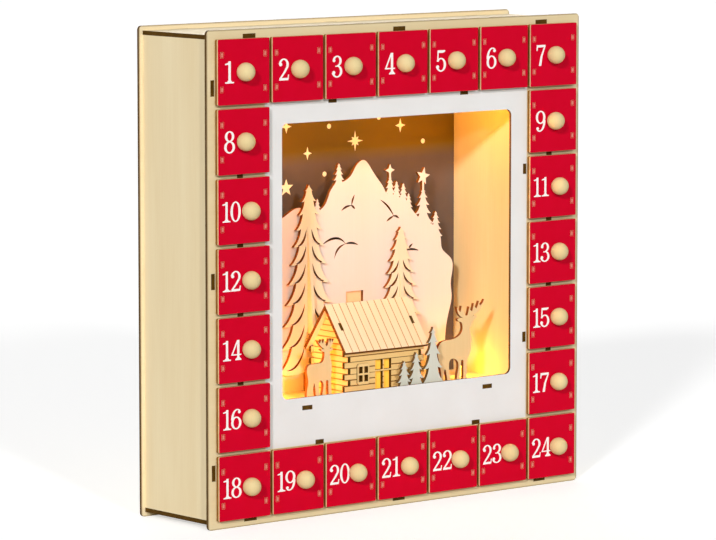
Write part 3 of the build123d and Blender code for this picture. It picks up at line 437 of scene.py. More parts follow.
def bring(name, data):
    """Brings an object into the scene."""
    made = bpy.data.objects.new(name, data)
    bpy.context.collection.objects.link(made)
    return made


def put(name, mesh, place, body):
    """Sets a piece of the calendar in its place, riding on its body."""
    made = bring(name, mesh)
    made.matrix_world = place
    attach(made, body)
    return made


def soften(piece, width, segments=2, sharp=40):
    """Rounds the edges of a piece that are sharper than an angle in degrees."""
    bevel = piece.modifiers.new("arris", "BEVEL")
    bevel.width = width * MM
    bevel.segments = segments
    bevel.limit_method = "ANGLE"
    bevel.angle_limit = math.radians(sharp)


def sawn_board(bm, place, us, vs, is_open, thickness, shaped=None):
    """Adds a board drawn in X and Z in millimetres, its face at Y = 0, its back at Y = thickness.

    us and vs are the grid that it is sawn on; cells whose middle is open are left out. shaped turns
    (u, v, depth) into the place of a corner, for grooves and sloping sides.
    """
    face = {}
    back = {}
    for i, u in enumerate(us):
        for j, v in enumerate(vs):
            for corners, depth in ((face, 0), (back, thickness)):
                corner = shaped(u, v, depth) if shaped else (u, depth, v)
                corners[i, j] = bm.verts.new(place @ (Vector(corner) * MM))

    def solid(i, j):
        if not (0 <= i < len(us) - 1 and 0 <= j < len(vs) - 1):
            return False
        return not is_open((us[i] + us[i + 1]) / 2, (vs[j] + vs[j + 1]) / 2)

    for i in range(len(us) - 1):
        for j in range(len(vs) - 1):
            if not solid(i, j):
                continue
            corners = [(i, j), (i + 1, j), (i + 1, j + 1), (i, j + 1)]
            bm.faces.new([face[c] for c in corners])
            bm.faces.new([back[c] for c in reversed(corners)])
            beside = [(i, j - 1), (i + 1, j), (i, j + 1), (i - 1, j)]
            for a, b, other in zip(corners, corners[1:] + corners[:1], beside):
                if not solid(*other):
                    bm.faces.new([face[b], face[a], back[a], back[b]])
    unused = [vert for vert in (*face.values(), *back.values()) if not vert.link_faces]
    bmesh.ops.delete(bm, geom=unused, context="VERTS")


def at_depth(y):
    """Shift along Y, in millimetres."""
    return Matrix.Translation((0, y * MM, 0))


def within(value, spans):
    """Whether a value lies in one of several spans."""
    return any(low < value < high for low, high in spans)


def about(middle, offset, width):
    """Two spans of one width, evenly to both sides of a middle."""
    return [(place - width / 2, place + width / 2) for place in (middle - offset, middle + offset)]


def plate_mesh(side, material):
    """Front plate of a drawer, with rounded corners and a slot for each tab of the tray."""
    half = side / 2
    columns = about(0, (tray_width - tray_ply) / 2, tray_ply + 2 * slot_play)
    rows = about(0, tab_rise, tab_height + 2 * slot_play)
    us = [-half, *columns[0], *columns[1], half]
    vs = [-half, *rows[0], *rows[1], half]
    bm = bmesh.new()
    sawn_board(bm, Matrix(), us, vs, lambda u, v: within(u, columns) and within(v, rows), plate_ply)
    limit = (half - slot_play) * MM
    corners = [edge for edge in bm.edges
               if all(abs(vert.co.x) > limit and abs(vert.co.z) > limit for vert in edge.verts)]
    bmesh.ops.bevel(bm, geom=corners, offset=plate_corner * MM, segments=plate_corner_steps,
                    affect="EDGES", profile=0.5)
    return mesh_from("drawer_front", bm, material)


def wider(spans):
    """Notches for tabs that fill these spans."""
    return [(low - tray_kerf, high + tray_kerf) for low, high in spans]


def tray_mesh(depth, material):
    """Tray of a drawer: two sides, a back and a floor, with tabs in the sides and the plate."""
    half = tray_width / 2
    inner = half - tray_ply
    low = tray_low
    high = low + tray_height
    floor_top = low + tray_floor_ply
    back_face = depth - tray_ply
    plate_tabs = about(0, tab_rise, tab_height)
    back_tabs = about((low + high) / 2, tab_share * tray_height, back_tab)
    floor_tabs = about((plate_ply + depth) / 2, tab_share * (depth - plate_ply), floor_tab)
    back_notches = wider(back_tabs)
    floor_notches = wider(floor_tabs)

    def side_open(y, z):
        if y < plate_ply:
            return not within(z, plate_tabs)
        if y > back_face - tray_kerf and within(z, back_notches):
            return True
        return z < floor_top + tray_kerf and within(y, floor_notches)

    bm = bmesh.new()
    lengths = sorted([0, plate_ply, back_face - tray_kerf, depth,
                      *floor_notches[0], *floor_notches[1]])
    heights = sorted([low, floor_top + tray_kerf, high, *plate_tabs[0], *plate_tabs[1],
                      *back_notches[0], *back_notches[1]])
    for x in (-inner, half):
        turn = Matrix.Translation((x * MM, 0, 0)) @ Matrix.Rotation(math.pi / 2, 4, "Z")
        sawn_board(bm, turn, lengths, heights, side_open, tray_ply)
    shoulder = inner - tray_kerf
    widths = [-half, -shoulder, shoulder, half]
    levels = sorted([low, high, *back_tabs[0], *back_tabs[1]])
    sawn_board(bm, at_depth(back_face), widths, levels,
               lambda x, z: abs(x) > shoulder and not within(z, back_tabs), tray_ply)
    lie = Matrix.Translation((0, 0, floor_top * MM)) @ Matrix.Rotation(-math.pi / 2, 4, "X")
    runs = sorted([plate_ply, back_face - tray_kerf, *floor_tabs[0], *floor_tabs[1]])
    sawn_board(bm, lie, widths, runs,
               lambda x, y: abs(x) > shoulder and not within(y, floor_tabs), tray_floor_ply)
    return mesh_from("drawer_tray", bm, material)


def turn_on_lathe(bm, place, profile, around):
    """Adds a piece turned about the Y axis through (along, radius) points, closed at both ends."""
    turns = [2 * math.pi * step / around for step in range(around)]
    loops = []
    for along, radius in profile:
        ring = [Vector((radius * math.cos(t), along, radius * math.sin(t))) * MM for t in turns]
        loops.append([bm.verts.new(place @ corner) for corner in ring])
    for first, second in zip(loops, loops[1:]):
        for step in range(around):
            after = (step + 1) % around
            bm.faces.new([first[step], first[after], second[after], second[step]])
    bm.faces.new(loops[0])
    bm.faces.new(loops[-1])


def knob_mesh(material):
    """Turned ball knob, with a small flat at the front and a flat foot on the plate."""
    foot_drop = knob_height - knob_radius
    foot_angle = math.acos(-foot_drop / knob_radius)
    tip_angle = math.radians(knob_tip)
    angles = [tip_angle + (foot_angle - tip_angle) * ring / knob_rings
              for ring in range(knob_rings + 1)]
    profile = [(-foot_drop - knob_radius * math.cos(a), knob_radius * math.sin(a)) for a in angles]
    bm = bmesh.new()
    turn_on_lathe(bm, Matrix(), profile, knob_sides)
    return mesh_from("drawer_knob", bm, material, smooth=True)


# Numbers in a narrow roman with slab feet, thick sides and thin tops

def bowl(x, y, rx, ry, start=0.0, end=360.0):
    """Quads of a bowl with thick sides and a thin top and foot, between two angles in degrees."""
    steps = round(abs(end - start) / bowl_step)
    angles = [math.radians(start + (end - start) * step / steps) for step in range(steps + 1)]
    outer = [(x + rx * math.cos(a), y + ry * math.sin(a)) for a in angles]
    inner = [(x + (rx - stem) * math.cos(a), y + (ry - hair) * math.sin(a)) for a in angles]
    return [[outer[i], outer[i + 1], inner[i + 1], inner[i]] for i in range(steps)]


def ball(x, y, radius):
    """Round end of a stroke, or a dot."""
    turns = [2 * math.pi * step / ball_sides for step in range(ball_sides)]
    return [[(x + radius * math.cos(t), y + radius * math.sin(t)) for t in turns]]


def stroke(*points):
    """Quads of a straight-sided stroke through (x, y, width across) points."""
    quads = []
    for (x0, y0, w0), (x1, y1, w1) in zip(points, points[1:]):
        quads.append([(x0 - w0 / 2, y0), (x0 + w0 / 2, y0), (x1 + w1 / 2, y1), (x1 - w1 / 2, y1)])
    return quads


def slab_foot(x, width):
    """Flat foot of an upright, with brackets up its sides."""
    half = width / 2
    return [[(x - half, 0), (x + half, 0), (x + half, 0.95), (x - half, 0.95)],
            [(x - 2.1, 0.9), (x + 2.1, 0.9), (x + 0.95, 2.2), (x - 0.95, 2.2)]]


def turned(shapes):
    """The same shapes, turned upside down in the digit's box."""
    return [[(digit_width - x, digit_height - y) for x, y in shape] for shape in shapes]


SIX = (bowl(4.1, 4.8, 4.1, 4.9) + bowl(4.9, 7.7, 4.9, 7.8, 62, 185)
       + ball(6.6, 13.1, 1.15))
DIGITS = {
    "0": bowl(4.1, 7.75, 4.1, 7.85),
    "1": (stroke((4.3, 0, stem), (4.3, 15.5, stem)) + slab_foot(4.3, 6.6)
          + [[(5.1, 15.5), (4.3, 15.5), (3.0, 14.4), (0.9, 13.8), (0.9, 13.0), (3.5, 13.2)]]),
    "2": (bowl(4.0, 11.2, 3.9, 4.3, 175, -28) + ball(1.6, 11.3, 1.2)
          + stroke((6.7, 9.4, 1.8), (4.7, 5.9, 1.7), (1.4, 1.5, 1.5))
          + [[(0.3, 0), (7.4, 0), (7.9, 1.7), (0.7, 1.7)],
             [(6.9, 1.2), (7.6, 1.2), (8.1, 4.0), (7.3, 4.0)]]),
    "3": (bowl(3.9, 11.7, 3.6, 3.85, 160, -85)
          + bowl(3.8, 4.25, 4.2, 4.4, 88, -165)
          + ball(1.4, 12.1, 1.1) + ball(1.2, 3.5, 1.2)
          + [[(2.6, 7.6), (4.6, 7.6), (4.6, 8.4), (2.6, 8.4)]]),
    "4": (stroke((5.9, 0, stem), (5.9, 15.5, stem)) + slab_foot(5.9, 4.8)
          + stroke((0.85, 4.4, 1.1), (5.5, 15.5, 1.1))
          + [[(0.2, 3.8), (8.3, 3.8), (8.3, 4.7), (0.2, 4.7)]]),
    "5": (bowl(3.9, 4.9, 4.2, 5.05, 148, -165) + ball(1.2, 3.5, 1.2)
          + stroke((1.25, 7.2, hair), (1.6, 15.0, hair))
          + [[(1.2, 13.7), (5.4, 13.5), (7.2, 14.3), (7.4, 15.5), (1.2, 15.5)]]),
    "6": SIX,
    "7": (stroke((3.4, 0, 2.0), (4.6, 7.0, 1.6), (7.2, 13.8, 1.1))
          + [[(0.5, 13.6), (7.9, 13.8), (7.9, 15.5), (0.5, 15.5)],
             [(0.3, 11.2), (1.0, 11.2), (1.6, 13.9), (0.5, 15.5)]]),
    "8": bowl(4.1, 11.8, 3.55, 3.85) + bowl(4.1, 4.25, 4.1, 4.35),
    "9": turned(SIX),
}


def covers(shape, x, y):
    """Whether a shape's outline goes round a point."""
    inside = False
    for (x0, y0), (x1, y1) in zip(shape, shape[1:] + shape[:1]):
        if (y0 > y) != (y1 > y) and x < x0 + (y - y0) / (y1 - y0) * (x1 - x0):
            inside = not inside
    return inside


def flat_shape_mesh(name, shapes, depth, material):
    """One flat piece from shapes that overlap, drawn in X and Z with its face to the front."""
    points = []
    loops = []
    for shape in shapes:
        loops.append(list(range(len(points), len(points) + len(shape))))
        points.extend(Vector(point) for point in shape)
    inside_only = 1
    verts, _, faces, *_ = delaunay_2d_cdt(points, [], loops, inside_only, weld)
    bm = bmesh.new()
    front = [bm.verts.new((v.x * MM, -depth * MM, v.y * MM)) for v in verts]
    for face in faces:
        middle = sum((verts[i] for i in face), Vector((0, 0))) / len(face)
        if any(covers(shape, middle.x, middle.y) for shape in shapes):
            bm.faces.new([front[i] for i in face])
    bmesh.ops.delete(bm, geom=[v for v in bm.verts if not v.link_faces], context="VERTS")
    grown = bmesh.ops.extrude_face_region(bm, geom=bm.faces[:], use_keep_orig=True)
    moved = [item for item in grown["geom"] if isinstance(item, bmesh.types.BMVert)]
    bmesh.ops.translate(bm, verts=moved, vec=(0, depth * MM, 0))
    return mesh_from(name, bm, material)


def number_mesh(number, side, material):
    """A drawer's number, at its place on the plate."""
    digits = str(number)
    single = len(digits) == 1
    x = (digit_left_one if single else digit_left_two) - side / 2
    usual, high = one_digit if single else two_digits
    shapes = []
    for digit in digits:
        wide = narrow_one if digit == "1" and not single else usual
        for shape in DIGITS[digit]:
            shapes.append([(x + px * wide / digit_width,
                            (py / digit_height - 0.5) * high - digit_drop) for px, py in shape])
        x += digit_steps.get(digit, usual)
    return flat_shape_mesh(f"number_{number}", shapes, ink_depth, material)


def star_shape(x, z, width, height, points, waist, short=0.6):
    """Outline of a star that may be taller than wide; of eight points every second one is short."""
    outline = []
    for step in range(2 * points):
        reach = 1 if step % 2 == 0 else waist
        if points == 8 and step % 4 == 2:
            reach = short
        angle = math.pi * step / points
        outline.append((x + width / 2 * reach * math.sin(angle),
                        z + height / 2 * reach * math.cos(angle)))
    return outline


# Materials of the calendar
upright_finish = birch_plywood("birch plywood, upright board", "X", "Z")
level_finish = birch_plywood("birch plywood, level board", "Z", "X")
# Painted light: the scene walls' birch is a warmer amber copy of the other boards, for the lamps'
# glow.
scene_wall_lamp_tint_finish = birch_plywood("birch plywood, scene wall, painted lamp warmth", "X", "Z", "#F0D9A4", "#DFBF82")
mountain_finish = birch_plywood("laser-cut birch, mountain", "Y", "Z", "#F0DCD0", "#E9D2BE",
                                edges=("#9A5E24", "#5C3210"))
deer_finish = birch_plywood("laser-cut birch, deer", "Y", "Z", "#F2CE98", "#E2B674",
                            edges=scenery_edges)
# Cabin birch: the logs' own tan, made warmer and lighter as painted lamp light on walls the eave
# shades.
cabin_wood_lamp_tinted = ("#F4CE8C", "#E6B666")
wall_finish = birch_plywood("laser-cut birch, log wall", "Y", "X", *cabin_wood_lamp_tinted, groove="#8C6230")
gable_finish = birch_plywood("laser-cut birch, log gable", "X", "Y", *cabin_wood_lamp_tinted, groove="#B98A44")
roof_finish = birch_plywood("laser-cut birch, roof boards", "Y", "Z", "#F4DFBC", "#E6C796",
                            edges=("#8A5222", "#5C3412"), groove="#C09464")
door_glow_paper_finish = lit_vellum("amber tracing paper, painted glow", "#FFC44A", "#F8AE30")
slot_glow_paper_finish = lit_vellum("peach tracing paper, painted glow", "#F0BC88", "#E8AC74")
# Painted shade: a darker sheet behind the cabin's panes.
window_shade_finish = birch_plywood("thin birch, painted shade behind panes", "Y", "Z", "#D09048", "#B87C38")
frame_finish = birch_plywood("laser-cut birch, window frame", "Y", "Z", "#F4D090", "#E6B86C")
# The front panel's bare birch is a darker copy of the other boards' birch: painted shade on the
# front.
front_panel_finish = painted_panel(
    "birch plywood, white painted field", white_field, "#E8E7E5", "#E3E1DE", cloud_size=35.0,
    roughness=0.48, bare=("#E4D3AA", "#D3BA88"))
# Painted light: upper gives the sky a warm band near its top, for lamp light in the top lip's
# shadow.
back_panel_finish = painted_panel(
    "birch plywood, printed dusky sky with painted lamp band", sky_field, "#64564F", "#554841", cloud_size=60.0,
    upper=("#6A5408", 236.0, 246.0))
snowy_finish = birch_plywood("birch plywood, grey white paint", "Y", "Z", "#D8D6C6", "#C4C3B2",
                             edges=("#8A6A40", "#4A3418"))
red_finish = red_painted_front("plywood, red satin paint")
tray_finish = tray_plywood("thin birch plywood, tray")
knob_finish = turned_birch("turned birch")
number_ink = printed_ink("white screen-print ink", "#FBFAF7", "#F0EDEA")
# Painted light: the stars' faint glow stands for lamp light on them.
star_ink_painted_glow = printed_ink("warm screen-print ink, painted glow", "#FFF3D0", "#F6E4B4", glow=0.22)
abs_finish = moulded_abs("black ABS, spark textured")
steel_finish = drawn_steel("nickel-plated steel", "#C9CACC", "#9C9EA2")
sleeve_finish = drawn_steel("tinned steel sleeve", "#8D939B", "#5F666F")
lens_finish = glowing_epoxy("warm lamp epoxy")
sheath_finish = vinyl_sheath("tan vinyl")

cad_finishes = [
    (front_panel_finish, "front_panel"), (back_panel_finish, "back_panel"),
    (upright_finish, "left_wall right_wall top_row_dividers bottom_row_dividers"),
    (level_finish, "top_wall bottom_wall upper_shelf lower_shelf scene_floor"),
    (level_finish, "left_column_shelves right_column_shelves"),
    (scene_wall_lamp_tint_finish, "inner_left_wall inner_right_wall"),
    (roof_finish, "cabin_roof_front cabin_roof_back"),
    (wall_finish, "cabin_front_wall cabin_back_wall"),
    (gable_finish, "cabin_left_gable cabin_right_gable"),
    (mountain_finish, "mountain"), (snowy_finish, "snowy_pines"),
    (deer_finish, "left_deer right_deer"), (sleeve_finish, "battery_cells"),
    (abs_finish, "battery_box battery_cover switch_slider"),
    (steel_finish, "battery_contacts"), (lens_finish, "led_lamps"), (sheath_finish, "led_wire"),
]
pine_board = 2.6  # from the back of a big pine; what stands ahead of this is its rib
for name in ("left_pine", "right_pine"):
    rib_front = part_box(name)[1].y / MM - pine_board
    pine_finish = birch_plywood(f"laser-cut birch, {name}", "Y", "Z", "#F5E2C2", "#EACFA2",
                                edges=scenery_edges, rib_front=rib_front)
    cad_finishes.append((pine_finish, name))

for finish, names in cad_finishes:
    for name in names.split():
        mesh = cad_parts[name].data
        mesh.materials.clear()
        mesh.materials.append(finish)


# Drawers
drawer_names = sorted(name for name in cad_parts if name.startswith("drawer_"))
low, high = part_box(drawer_names[0])
plate_side = (high.x - low.x) / MM
drawer_depth = (high.y - low.y) / MM - knob_height
front_mesh = plate_mesh(plate_side, red_finish)
tray = tray_mesh(drawer_depth, tray_finish)
knob = knob_mesh(knob_finish)

for name in drawer_names:
    number = int(name.split("_")[1])
    low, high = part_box(name)
    middle = Vector(((low.x + high.x) / 2, low.y + knob_height * MM, (low.z + high.z) / 2))
    place = Matrix.Translation(middle)
    front = put(f"{name}_front", front_mesh, place, name)
    soften(front, plate_arris)
    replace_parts(front, name)
    put(f"{name}_tray", tray, place, name)
    knob_x = knob_one_digit if number < 10 else knob_two_digits
    put(f"{name}_knob", knob, Matrix.Translation((knob_x * MM, 0, 0)) @ place, name)
    ink = number_mesh(number, plate_side, number_ink)
    put(f"{name}_number", ink, place, name)


# Cabin of grooved boards, laid out from the box of each piece
cabin_ply = 2.5
roof_rise = 31.8
log_courses = 8
log_end = 2.8  # long walls' logs past the gables
groove_half = 0.4  # half of a groove's width
groove_depth = 0.45
same_place = 0.01
roof_boards = 12
apex_land = 1.0  # a gable's height above its last groove, at least
roof_tab = 6.0
roof_tab_share = 0.53  # gable's tab, up the slope
slot_kerf = 0.1
pane = (3.6, 4.6)  # one opening of the two-by-two window
pane_bar = 1.4
pane_share = (0.21, 0.48)
door = (14.6, 22.0)
door_share = 0.50
door_sill = 2.6
door_bar = 1.0
door_lap = 1.0  # paper past the door's opening
window_frame = (1.2, 2.0)  # frame beside and above the panes
window_frame_ply = 0.8
backing_ply = 0.5


def span(name):
    """Box of a node, in millimetres."""
    return [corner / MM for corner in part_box(name)]


def grooved(positions, low, high):
    """Grid places for grooves at some positions between two ends."""
    places = {low, high}
    for position in positions:
        places.update((position - groove_half, position, position + groove_half))
    return sorted(places)


def sunk(value, positions):
    """Depth of the face at a place: a groove's bottom or none."""
    return groove_depth if min(abs(value - position) for position in positions) < same_place else 0


wall_low, wall_high = span("cabin_front_wall")
back_high = span("cabin_back_wall")[1]
roof_low, roof_high = span("cabin_roof_front")
floor_top = span("scene_floor")[1].z
wall_top = wall_high.z
course = (wall_top - floor_top) / log_courses
left_outer = wall_low.x + log_end
right_outer = wall_high.x - log_end
left_inner = left_outer + cabin_ply
right_inner = right_outer - cabin_ply
wall_run = right_inner - left_outer
ridge_y = roof_high.y
ridge_z = roof_high.z
roof_run = roof_high.y - roof_low.y
roof_slope = math.hypot(roof_run, roof_rise)
tab_span = (roof_slope * roof_tab_share - roof_tab / 2, roof_slope * roof_tab_share + roof_tab / 2)
lean = Matrix.Rotation(-math.atan2(roof_run, roof_rise), 4, "X")
half_turn = Matrix.Rotation(math.pi, 4, "Z")
eave_z = (ridge_z - roof_rise) * MM
roof_places = {
    "front": Matrix.Translation((0, roof_low.y * MM, eave_z)) @ lean,
    "back": Matrix.Translation((0, (2 * ridge_y - roof_low.y) * MM, eave_z)) @ half_turn @ lean,
}


def log_wall(place, sign, openings, material):
    """Long log wall seen from the front (1) or back (-1); every second course passes the gables."""
    joints = [floor_top + step * course for step in range(1, log_courses)]
    us = {left_outer - log_end, left_inner, right_inner, right_outer + log_end}
    vs = set(grooved(joints, floor_top, wall_top))
    for x0, x1, z0, z1 in openings:
        us.update((x0, x1))
        vs.update((z0, z1))

    def is_open(u, v):
        x = sign * u
        if int((v - floor_top) / course) % 2 == 0 and not left_inner < x < right_inner:
            return True
        return any(x0 < x < x1 and z0 < v < z1 for x0, x1, z0, z1 in openings)

    def shaped(u, v, depth):
        return u, depth if depth else sunk(v, joints), v

    bm = bmesh.new()
    sawn_board(bm, place, sorted(sign * u for u in us), sorted(vs), is_open, cabin_ply, shaped)
    return mesh_from("log_wall", bm, material)


def roof_mesh(sign, material):
    """Slope of the roof in its own plane: grooved boards, mitred ridge, slots for the gables."""
    board = (roof_high.x - roof_low.x) / roof_boards
    joints = [sign * (roof_low.x + step * board) for step in range(1, roof_boards)]
    slots = [sorted((sign * (x0 - slot_kerf), sign * (x1 + slot_kerf)))
             for x0, x1 in ((left_outer, left_inner), (right_inner, right_outer))]
    ends = sorted((sign * roof_low.x, sign * roof_high.x))
    us = sorted({*grooved(joints, *ends), *slots[0], *slots[1]})
    rows = [(tab_span[0] - slot_kerf, tab_span[1] + slot_kerf)]
    mitre = cabin_ply * roof_rise / roof_run

    def shaped(u, v, depth):
        if depth:
            return u, depth, v - (mitre if v == roof_slope else 0)
        return u, sunk(u, joints), v

    bm = bmesh.new()
    sawn_board(bm, Matrix(), us, [0, *rows[0], roof_slope],
               lambda u, v: within(u, slots) and within(v, rows), cabin_ply, shaped)
    return mesh_from("roof_boards", bm, material)


def gable_mesh(outer_x, sign, material):
    """Gable of logs, notched for the long walls, with a tab through each slope of the roof."""
    ends = (wall_low.y, wall_low.y + cabin_ply, back_high.y - cabin_ply, back_high.y)
    half_width = (back_high.y - wall_low.y) / 2
    apex = ridge_z - cabin_ply * roof_slope / roof_run
    joints = [floor_top + step * course for step in range(1, 2 * log_courses)
              if step * course < apex - floor_top - apex_land]

    def is_open(u, v):
        ends_in_wall = not ends[1] < sign * u < ends[2]
        return v < wall_top and ends_in_wall and int((v - floor_top) / course) % 2 == 1

    def shaped(u, v, depth):
        width_share = min(1, (apex - v) * roof_run / roof_rise / half_width)
        along = sign * ridge_y + (u - sign * ridge_y) * width_share
        return along, depth if depth else sunk(v, joints), v

    bm = bmesh.new()
    turn = Matrix.Translation((outer_x * MM, 0, 0)) @ Matrix.Rotation(sign * math.pi / 2, 4, "Z")
    levels = grooved(joints, floor_top, apex - groove_half)
    sawn_board(bm, turn, sorted(sign * y for y in ends), levels, is_open, cabin_ply, shaped)
    for way, place in zip((1, -1), roof_places.values()):
        across = sorted((way * outer_x, way * (outer_x - sign * cabin_ply)))
        sawn_board(bm, place, across, tab_span, lambda u, v: False, cabin_ply)
    return mesh_from("log_gable", bm, material)


def framed_mesh(name, outside, openings, thickness, material):
    """Thin plate with cut-off corners and rectangular openings, each as (x0, x1, z0, z1)."""
    x0, x1, z0, z1 = outside
    us = {x0, x0 + thickness, x1 - thickness, x1}
    vs = {z0, z0 + thickness, z1 - thickness, z1}
    for a, b, c, d in openings:
        us.update((a, b))
        vs.update((c, d))

    def is_open(u, v):
        corner = not x0 + thickness < u < x1 - thickness and not z0 + thickness < v < z1 - thickness
        return corner or any(a < u < b and c < v < d for a, b, c, d in openings)

    bm = bmesh.new()
    sawn_board(bm, Matrix(), sorted(us), sorted(vs), is_open, thickness)
    return mesh_from(name, bm, material)


window_x = left_outer + pane_share[0] * wall_run
window_z = floor_top + pane_share[1] * (wall_top - floor_top)
pane_x = about(window_x, (pane_bar + pane[0]) / 2, pane[0])
pane_z = about(window_z, (pane_bar + pane[1]) / 2, pane[1])
panes = [(*px, *pz) for px in pane_x for pz in pane_z]
door_x = left_outer + door_share * wall_run
door_z = floor_top + door_sill
leaf = (door[0] - door_bar) / 2
light_height = (door[1] - door_bar) / 3
door_lights = []
for x in (door_x - door[0] / 2, door_x + door_bar / 2):
    door_lights.append((x, x + leaf, door_z, door_z + 2 * light_height))
    door_lights.append((x, x + leaf, door_z + door[1] - light_height, door_z + door[1]))

pieces = {
    "cabin_front_wall": log_wall(at_depth(wall_low.y), 1, panes + door_lights, wall_finish),
    "cabin_back_wall": log_wall(at_depth(back_high.y) @ half_turn, -1, [], wall_finish),
    "cabin_left_gable": gable_mesh(left_outer, -1, gable_finish),
    "cabin_right_gable": gable_mesh(right_outer, 1, gable_finish),
}
for name, mesh in pieces.items():
    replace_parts(put(f"{name}_logs", mesh, Matrix(), "case"), name)
for side, sign in (("front", 1), ("back", -1)):
    boards = put(f"cabin_roof_{side}_boards", roof_mesh(sign, roof_finish), roof_places[side],
                 "case")
    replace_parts(boards, f"cabin_roof_{side}")

window_outside = (pane_x[0][0] - window_frame[0], pane_x[1][1] + window_frame[0],
                  pane_z[0][0] - window_frame[1], pane_z[1][1] + window_frame[1])
window = framed_mesh("window_frame", window_outside, panes, window_frame_ply, frame_finish)
put("cabin_window_frame", window, at_depth(wall_low.y - window_frame_ply), "case")
# Painted shade: a darker sheet behind the panes stands for the unlit inside of the cabin.
shade_sheet = framed_mesh("window_backing", window_outside, [], backing_ply, window_shade_finish)
put("cabin_window_backing", shade_sheet, at_depth(wall_high.y), "case")
door_outside = (door_x - door[0] / 2 - door_lap, door_x + door[0] / 2 + door_lap,
                floor_top + door_lap, door_z + door[1] + door_lap)
# Painted light: the paper's glow stands for the cabin lamp shining through the door.
paper = framed_mesh("door_paper", door_outside, [], backing_ply, door_glow_paper_finish)
put("cabin_door_paper", paper, at_depth(wall_high.y), "case")

# Paper behind the light slot of the mountain; its glow is painted light, a lit patch seen through
# the slot
slot_outside = (-1.9, 16.1, 136.9, 146.9)
paper = framed_mesh("slot_paper", slot_outside, [], backing_ply, slot_glow_paper_finish)
put("mountain_slot_paper", paper, at_depth(span("mountain")[1].y), "case")


# Cells of the battery box, turned with a crimped foot and a button, and the grip of its cover
cell_radius = 5.25
cell_sides = 36
cell_foot = [(0.25, 2.6), (0, 3.2), (0, 4.3), (0.3, 4.95), (0.9, cell_radius), (1.9, cell_radius),
             (2.1, 5.1), (2.3, cell_radius)]
cell_top = [(41.6, cell_radius), (42.3, 5.1), (42.6, 4.6), (42.6, 2.5), (42.9, 2.1), (44.1, 2.0),
            (44.5, 1.5)]
ribs = 5  # grip of the cover
rib_step = 1.6
rib_length = 9.0
rib_width = 0.8  # a third of it is the crown
rib_height = 0.25
rib_shoulder = 0.6  # share of the height by which its sides fall

cells_low, cells_high = span("battery_cells")
middle_y = (cells_low.y + cells_high.y) / 2
bm = bmesh.new()
for z, way in ((cells_low.z + cell_radius, 1), (cells_high.z - cell_radius, -1)):
    end_x = cells_low.x if way > 0 else cells_high.x
    quarter_turn = Matrix.Rotation(-way * math.pi / 2, 4, "Z")
    lie = Matrix.Translation(Vector((end_x, middle_y, z)) * MM) @ quarter_turn
    turn_on_lathe(bm, lie, cell_foot + cell_top, cell_sides)
cans = mesh_from("battery_cells_cans", bm, sleeve_finish)
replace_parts(put("battery_cells_cans", cans, Matrix(), "case"), "battery_cells")

cover_low, cover_high = span("battery_cover")
grip_x = cover_low.x + rib_length
grip_z = (cover_low.z + cover_high.z) / 2
bm = bmesh.new()
back_of_cover = at_depth(cover_high.y + rib_height) @ half_turn
for step in range(ribs):
    x = -grip_x + (step - (ribs - 1) / 2) * rib_step
    us = [x - rib_width / 2, x - rib_width / 6, x + rib_width / 6, x + rib_width / 2]
    vs = [grip_z - rib_length / 2, grip_z + rib_length / 2]
    fall = {us[0]: rib_height * rib_shoulder, us[3]: rib_height * rib_shoulder}
    sawn_board(bm, back_of_cover, us, vs, lambda u, v: False, rib_height,
               lambda u, v, depth: (u, depth if depth else fall.get(u, 0), v))
grip = mesh_from("battery_cover_grip", bm, abs_finish)
put("battery_cover_grip", grip, Matrix(), "battery_cover")


# Stars printed on the sky: place, width, height and number of points
sky_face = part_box("back_panel")[0].y
sky_stars = [
    (-40.5, 264.2, 9.6, 9.4, 4), (-21.3, 244.3, 7.8, 9.2, 4), (65.0, 259.9, 9.4, 10.0, 4),
    (22.6, 250.9, 14.5, 14.5, 8), (-40.75, 220.9, 13.0, 12.5, 5),
]
sky_dots = [(-1.5, 262.6), (-5.7, 228.8), (44.7, 266.7), (86.5, 247.5)]
dot_radius = 1.8
star_waists = {4: 0.34, 5: 0.42, 8: 0.34}
star_shapes = [star_shape(x, z, w, h, n, star_waists[n]) for x, z, w, h, n in sky_stars]
for x, z in sky_dots:
    star_shapes += ball(x, z, dot_radius)
stars = flat_shape_mesh("sky_stars", star_shapes, ink_depth, star_ink_painted_glow)
put("sky_stars", stars, Matrix.Translation((0, sky_face, 0)), "case")


# Light, floor and camera
lamp_colour = "#FFAE22"
lamp_soft = 3.0  # radius of a light in millimetres
lamp_lights = [  # place in millimetres, and power in watts
    (97.9, 10.0, 86.0, 0.035), (-4.7, 0.25, 90.0, 0.05), (-90.9, 10.0, 86.0, 0.125),
    (60.6, -18.0, 278.5, 0.146), (-60.6, -18.0, 278.5, 0.146),
]
suns = {  # direction, strength, and spread in degrees
    "key": ((0.29, 0.89, -0.34), 1.2, 5),
    "side": ((0.75, 0.55, -0.36), 1.85, 5),
    "back_fill": ((-0.6, -0.78, -0.12), 2.5, 40),
}
surround_light = 0.24  # strength of the surround as light, and as it is seen
surround_seen = 1.0
floor_glow = 0.54
floor_half = 30.0  # metres
camera_place = (-1966.0, -2334.6, 507.7)
camera_pitch = 6.433  # degrees below level, and about the upright
camera_turn = -39.936
camera_lens = 219.0  # millimetres, for a sensor as wide as the next value
camera_sensor = 36.0
camera_reach = 200.0  # metres


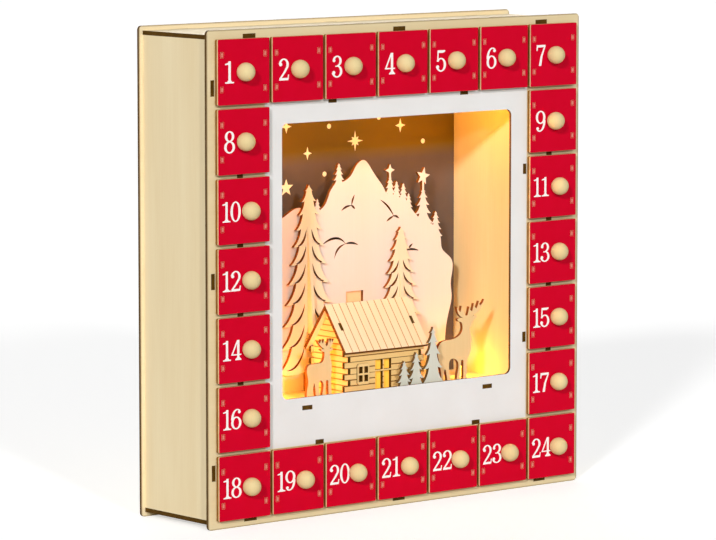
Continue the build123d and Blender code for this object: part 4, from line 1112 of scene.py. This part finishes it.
def lights():
    """Small warm lights just off the lamps of the calendar, and suns for even soft light."""
    for index, (x, y, z, energy) in enumerate(lamp_lights):
        light = bpy.data.lights.new(f"lamp_glow_{index}", "POINT")
        light.color = hex_colour(lamp_colour)[:3]
        light.energy = energy
        light.shadow_soft_size = lamp_soft * MM
        bring(f"lamp_glow_{index}", light).location = (x * MM, y * MM, z * MM)
    for name, (direction, strength, spread) in suns.items():
        light = bpy.data.lights.new(name, "SUN")
        light.energy = strength
        light.angle = math.radians(spread)
        bring(name, light).rotation_euler = Vector(direction).to_track_quat("-Z", "Y").to_euler()


def background_share(tree):
    """1 for rays that show the background: to the camera, in gloss and through glass."""
    path = add(tree, "LightPath").outputs
    shown = 0.0
    for ray in ("Is Camera Ray", "Is Glossy Ray", "Is Transmission Ray"):
        shown = add(tree, "Math", {0: shown, 1: path[ray]}, operation="MAXIMUM")
    return shown


def studio():
    """White surround that lights the calendar softly, and a pale floor."""
    world = bpy.data.worlds.new("studio")
    bpy.context.scene.world = world
    world.use_nodes = True
    tree = world.node_tree
    tree.nodes.clear()
    strength = add(tree, "MapRange", {"Value": background_share(tree), "To Min": surround_light,
                                      "To Max": surround_seen})
    surround = add(tree, "Background", {"Color": "#FFFFFF", "Strength": strength})
    add(tree, "OutputWorld", {"Surface": surround})

    material, tree = new_material("pale studio floor")
    matt = add(tree, "BsdfDiffuse", {"Color": "#D9D9D9"})
    white = add(tree, "Emission", {"Color": "#FFFFFF", "Strength": floor_glow})
    lit = add(tree, "AddShader", {0: matt, 1: white})
    mix = add(tree, "MixShader", {"Fac": background_share(tree), 1: matt, 2: lit})
    add(tree, "OutputMaterial", {"Surface": mix})
    bm = bmesh.new()
    bmesh.ops.create_grid(bm, x_segments=1, y_segments=1, size=floor_half)
    floor = bring("studio_floor", mesh_from("studio_floor", bm, material))


def photo_camera():
    """Camera at the photograph's viewing angle."""
    data = bpy.data.cameras.new("camera")
    data.sensor_width = camera_sensor
    data.lens = camera_lens
    data.clip_end = camera_reach
    camera = bring("camera", data)
    camera.location = Vector(camera_place) * MM
    camera.rotation_euler = (math.radians(90 - camera_pitch), 0, math.radians(camera_turn))
    bpy.context.scene.camera = camera


bpy.context.scene.view_settings.view_transform = "Standard"
lights()
studio()
photo_camera()
